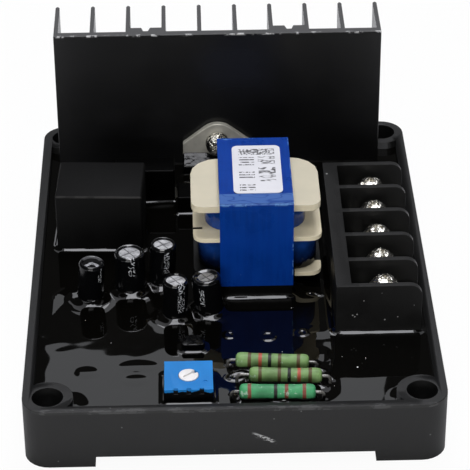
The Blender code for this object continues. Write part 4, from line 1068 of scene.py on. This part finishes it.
def buildCapacitors():
    canMetal = canFinish("canAluminium", canLook, ventLook["width"])
    filmedMetal = canFinish("canFilmed", filmedCanLook, ventLook["filmedWidth"], capacitorFeet[0][1])
    wall, shoulder = sleeveLook["wall"], sleeveLook["shoulder"]
    for i, look in enumerate(capacitorLooks):
        number = i + 1
        foot, radius = capacitorFeet[i]
        low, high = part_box("capacitor_sleeve_%d" % number)
        lean = math.radians(look["lean"])
        rise = (high.z - fillLevel - radius * 0.6 * abs(math.sin(lean))) / math.cos(lean)
        below = (fillLevel - low.z) * 0.9
        opening = radius - look["lip"] - shoulder
        outer = roundedProfile(
            [(opening, rise - lipDip), (radius - shoulder, rise), (radius, rise - shoulder), (radius, -below)],
            sleeveLook["rounding"],
        )
        inner = [(radius - wall, -below), (radius - wall, rise - shoulder - lipDip), (opening, rise - lipDip - wall)]
        place = Matrix.Translation((*foot, fillLevel)) @ Matrix.Rotation(lean, 4, "Y")
        addTurned("capacitor_sleeve_%d" % number, outer + inner + [outer[0]], canSteps,
                  sleeveFinish(number, look, rise), place)
        profile = canProfile(radius - wall - canClearance, rise - lipDip - wall * 0.5, -below)
        addTurned("capacitor_can_%d" % number, profile, canSteps, filmedMetal if look.get("dull") else canMetal,
                  place)


buildCapacitors()
print("capacitors are ready")


trimmerLook = {"color": (0.013, 0.21, 0.60), "second": (0.018, 0.24, 0.66), "roughness": 0.38, "mottleScale": 200.0,
               "specular": 0.18, "bump": 0.00001, "dust": 0.004, "dustColor": (0.4, 0.5, 0.7),
               "darkColor": (0.0016, 0.0016, 0.0018)}
rotorLook = {"color": (0.96, 0.94, 0.92), "second": (0.91, 0.89, 0.87), "roughness": 0.35, "dust": 0.004}


def buildTrimmer():
    blue = grainFinish("trimmerBlue", trimmerLook)
    low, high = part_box("trimmer_body")
    x, y, z = blue.axes()
    # the front wall is near-black up to a ragged blue strip at its top
    edge = (blue.group("surfaceGrain", 1300.0, 500.0)[1] - 0.5) * 0.0016 + z
    film = (y < low.y + 0.0007) * edge.fade(high.z - 0.0004, high.z - 0.0006)
    blue.lay(film, trimmerLook["darkColor"])
    dressNode("trimmer_body", blue, 0.00012, 2)
    dressNode("trimmer_rotor", grainFinish("rotorWhite", rotorLook), 0.00006, 2, body="adjuster")


buildTrimmer()
print("trimmer is ready")


bandColors = {"brown": (0.11, 0.075, 0.03), "red": (0.45, 0.09, 0.05), "black": (0.012, 0.012, 0.010),
              "brick": (0.22, 0.06, 0.035)}
resistorLooks = (
    {"slot": "resistor_olive", "length": 0.0146, "coat": (0.155, 0.265, 0.095), "chips": 0.36,
     "bands": ((0.19, "brown"), (0.335, "red"), (0.465, "black"), (0.60, "brown"), (0.855, "brown"))},
    {"slot": "resistor_olive", "length": 0.0144, "coat": (0.150, 0.255, 0.090), "chips": 0.38,
     "bands": ((0.152, "brown"), (0.415, "brown"), (0.55, "black"), (0.685, "red"), (0.835, "brown"))},
    {"slot": "resistor_green", "length": 0.0149, "coat": (0.048, 0.255, 0.105), "chips": 0.41,
     "bands": ((0.133, "brick"), (0.475, "black"), (0.617, "brick"), (0.85, "brick"))},
)
resistorShape = {"waist": 0.00150, "end": 0.00160, "capShare": 0.14, "rounding": 0.0006, "steps": 36}
resistorFinish = {"roughness": 0.46, "specular": 0.30, "paler": 1.45, "chipColor": (0.55, 0.72, 0.58),
                  "darkColor": (0.0016, 0.0016, 0.0016), "bump": 0.00010}
leadLook = {"color": (0.004, 0.004, 0.004), "second": (0.30, 0.29, 0.27), "roughness": 0.16, "metallic": 0.2,
            "mottleScale": 450.0, "grainScale": 900.0, "bump": 0.00008, "dust": 0.0}


def coatFinish(number, look):
    base = resistorFinish
    coat = paintedFinish("resistorCoat%d" % number, base["roughness"], specular=base["specular"])
    x, y, z = coat.axes()
    share = x / look["length"] + 0.5
    height, mottle = coat.group("surfaceGrain", 900.0, 420.0)
    pale = tuple(min(1.0, value * base["paler"]) for value in look["coat"])
    coat.start(mottle.fade(0.35, 0.65), look["coat"], pale)
    wobble = height * 0.012 + 0.012
    for middle, name in look["bands"]:
        coat.lay((abs(share - middle) - wobble).fade(0.012, 0.0), bandColors[name])
    # chipped pale spots, and near-black below the middle of the body along a ragged edge
    coat.lay(coat.group("scuffs", 700.0, evenStretch, look["chips"]) * 0.6, base["chipColor"])
    coat.lay((height * 0.0006 + z).fade(-0.0001, -0.0005), base["darkColor"])
    coat.bump(mottle, base["bump"])
    return coat


def buildResistors():
    leadMetal = grainFinish("tinnedLead", leadLook)
    waist, end = resistorShape["waist"], resistorShape["end"]
    lying = Matrix.Rotation(math.radians(90), 4, "Y")
    for i, look in enumerate(resistorLooks):
        number = i + 1
        name = "resistor_body_%d" % number
        half, cap = look["length"] / 2, look["length"] * resistorShape["capShare"]
        points = [(0.0, half), (end * 0.55, half), (end * 0.90, half - cap * 0.16), (end, half - cap * 0.5),
                  (end, half - cap), (waist, half - cap * 1.6)]
        points += [(radius, -height) for radius, height in reversed(points)]
        profile = roundedProfile(points, resistorShape["rounding"])
        turn = Matrix.Rotation(math.radians(resistorTurns[i]), 4, "Z")
        place = Matrix.Translation(midpoint(*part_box(name))) @ turn
        addTurned(name, profile, resistorShape["steps"], coatFinish(number, look), place, 60,
                  lambda shape: shape.transform(lying))
        dressNode("resistor_leads_%d" % number, leadMetal, angle=60)


buildResistors()
print("resistors are ready")
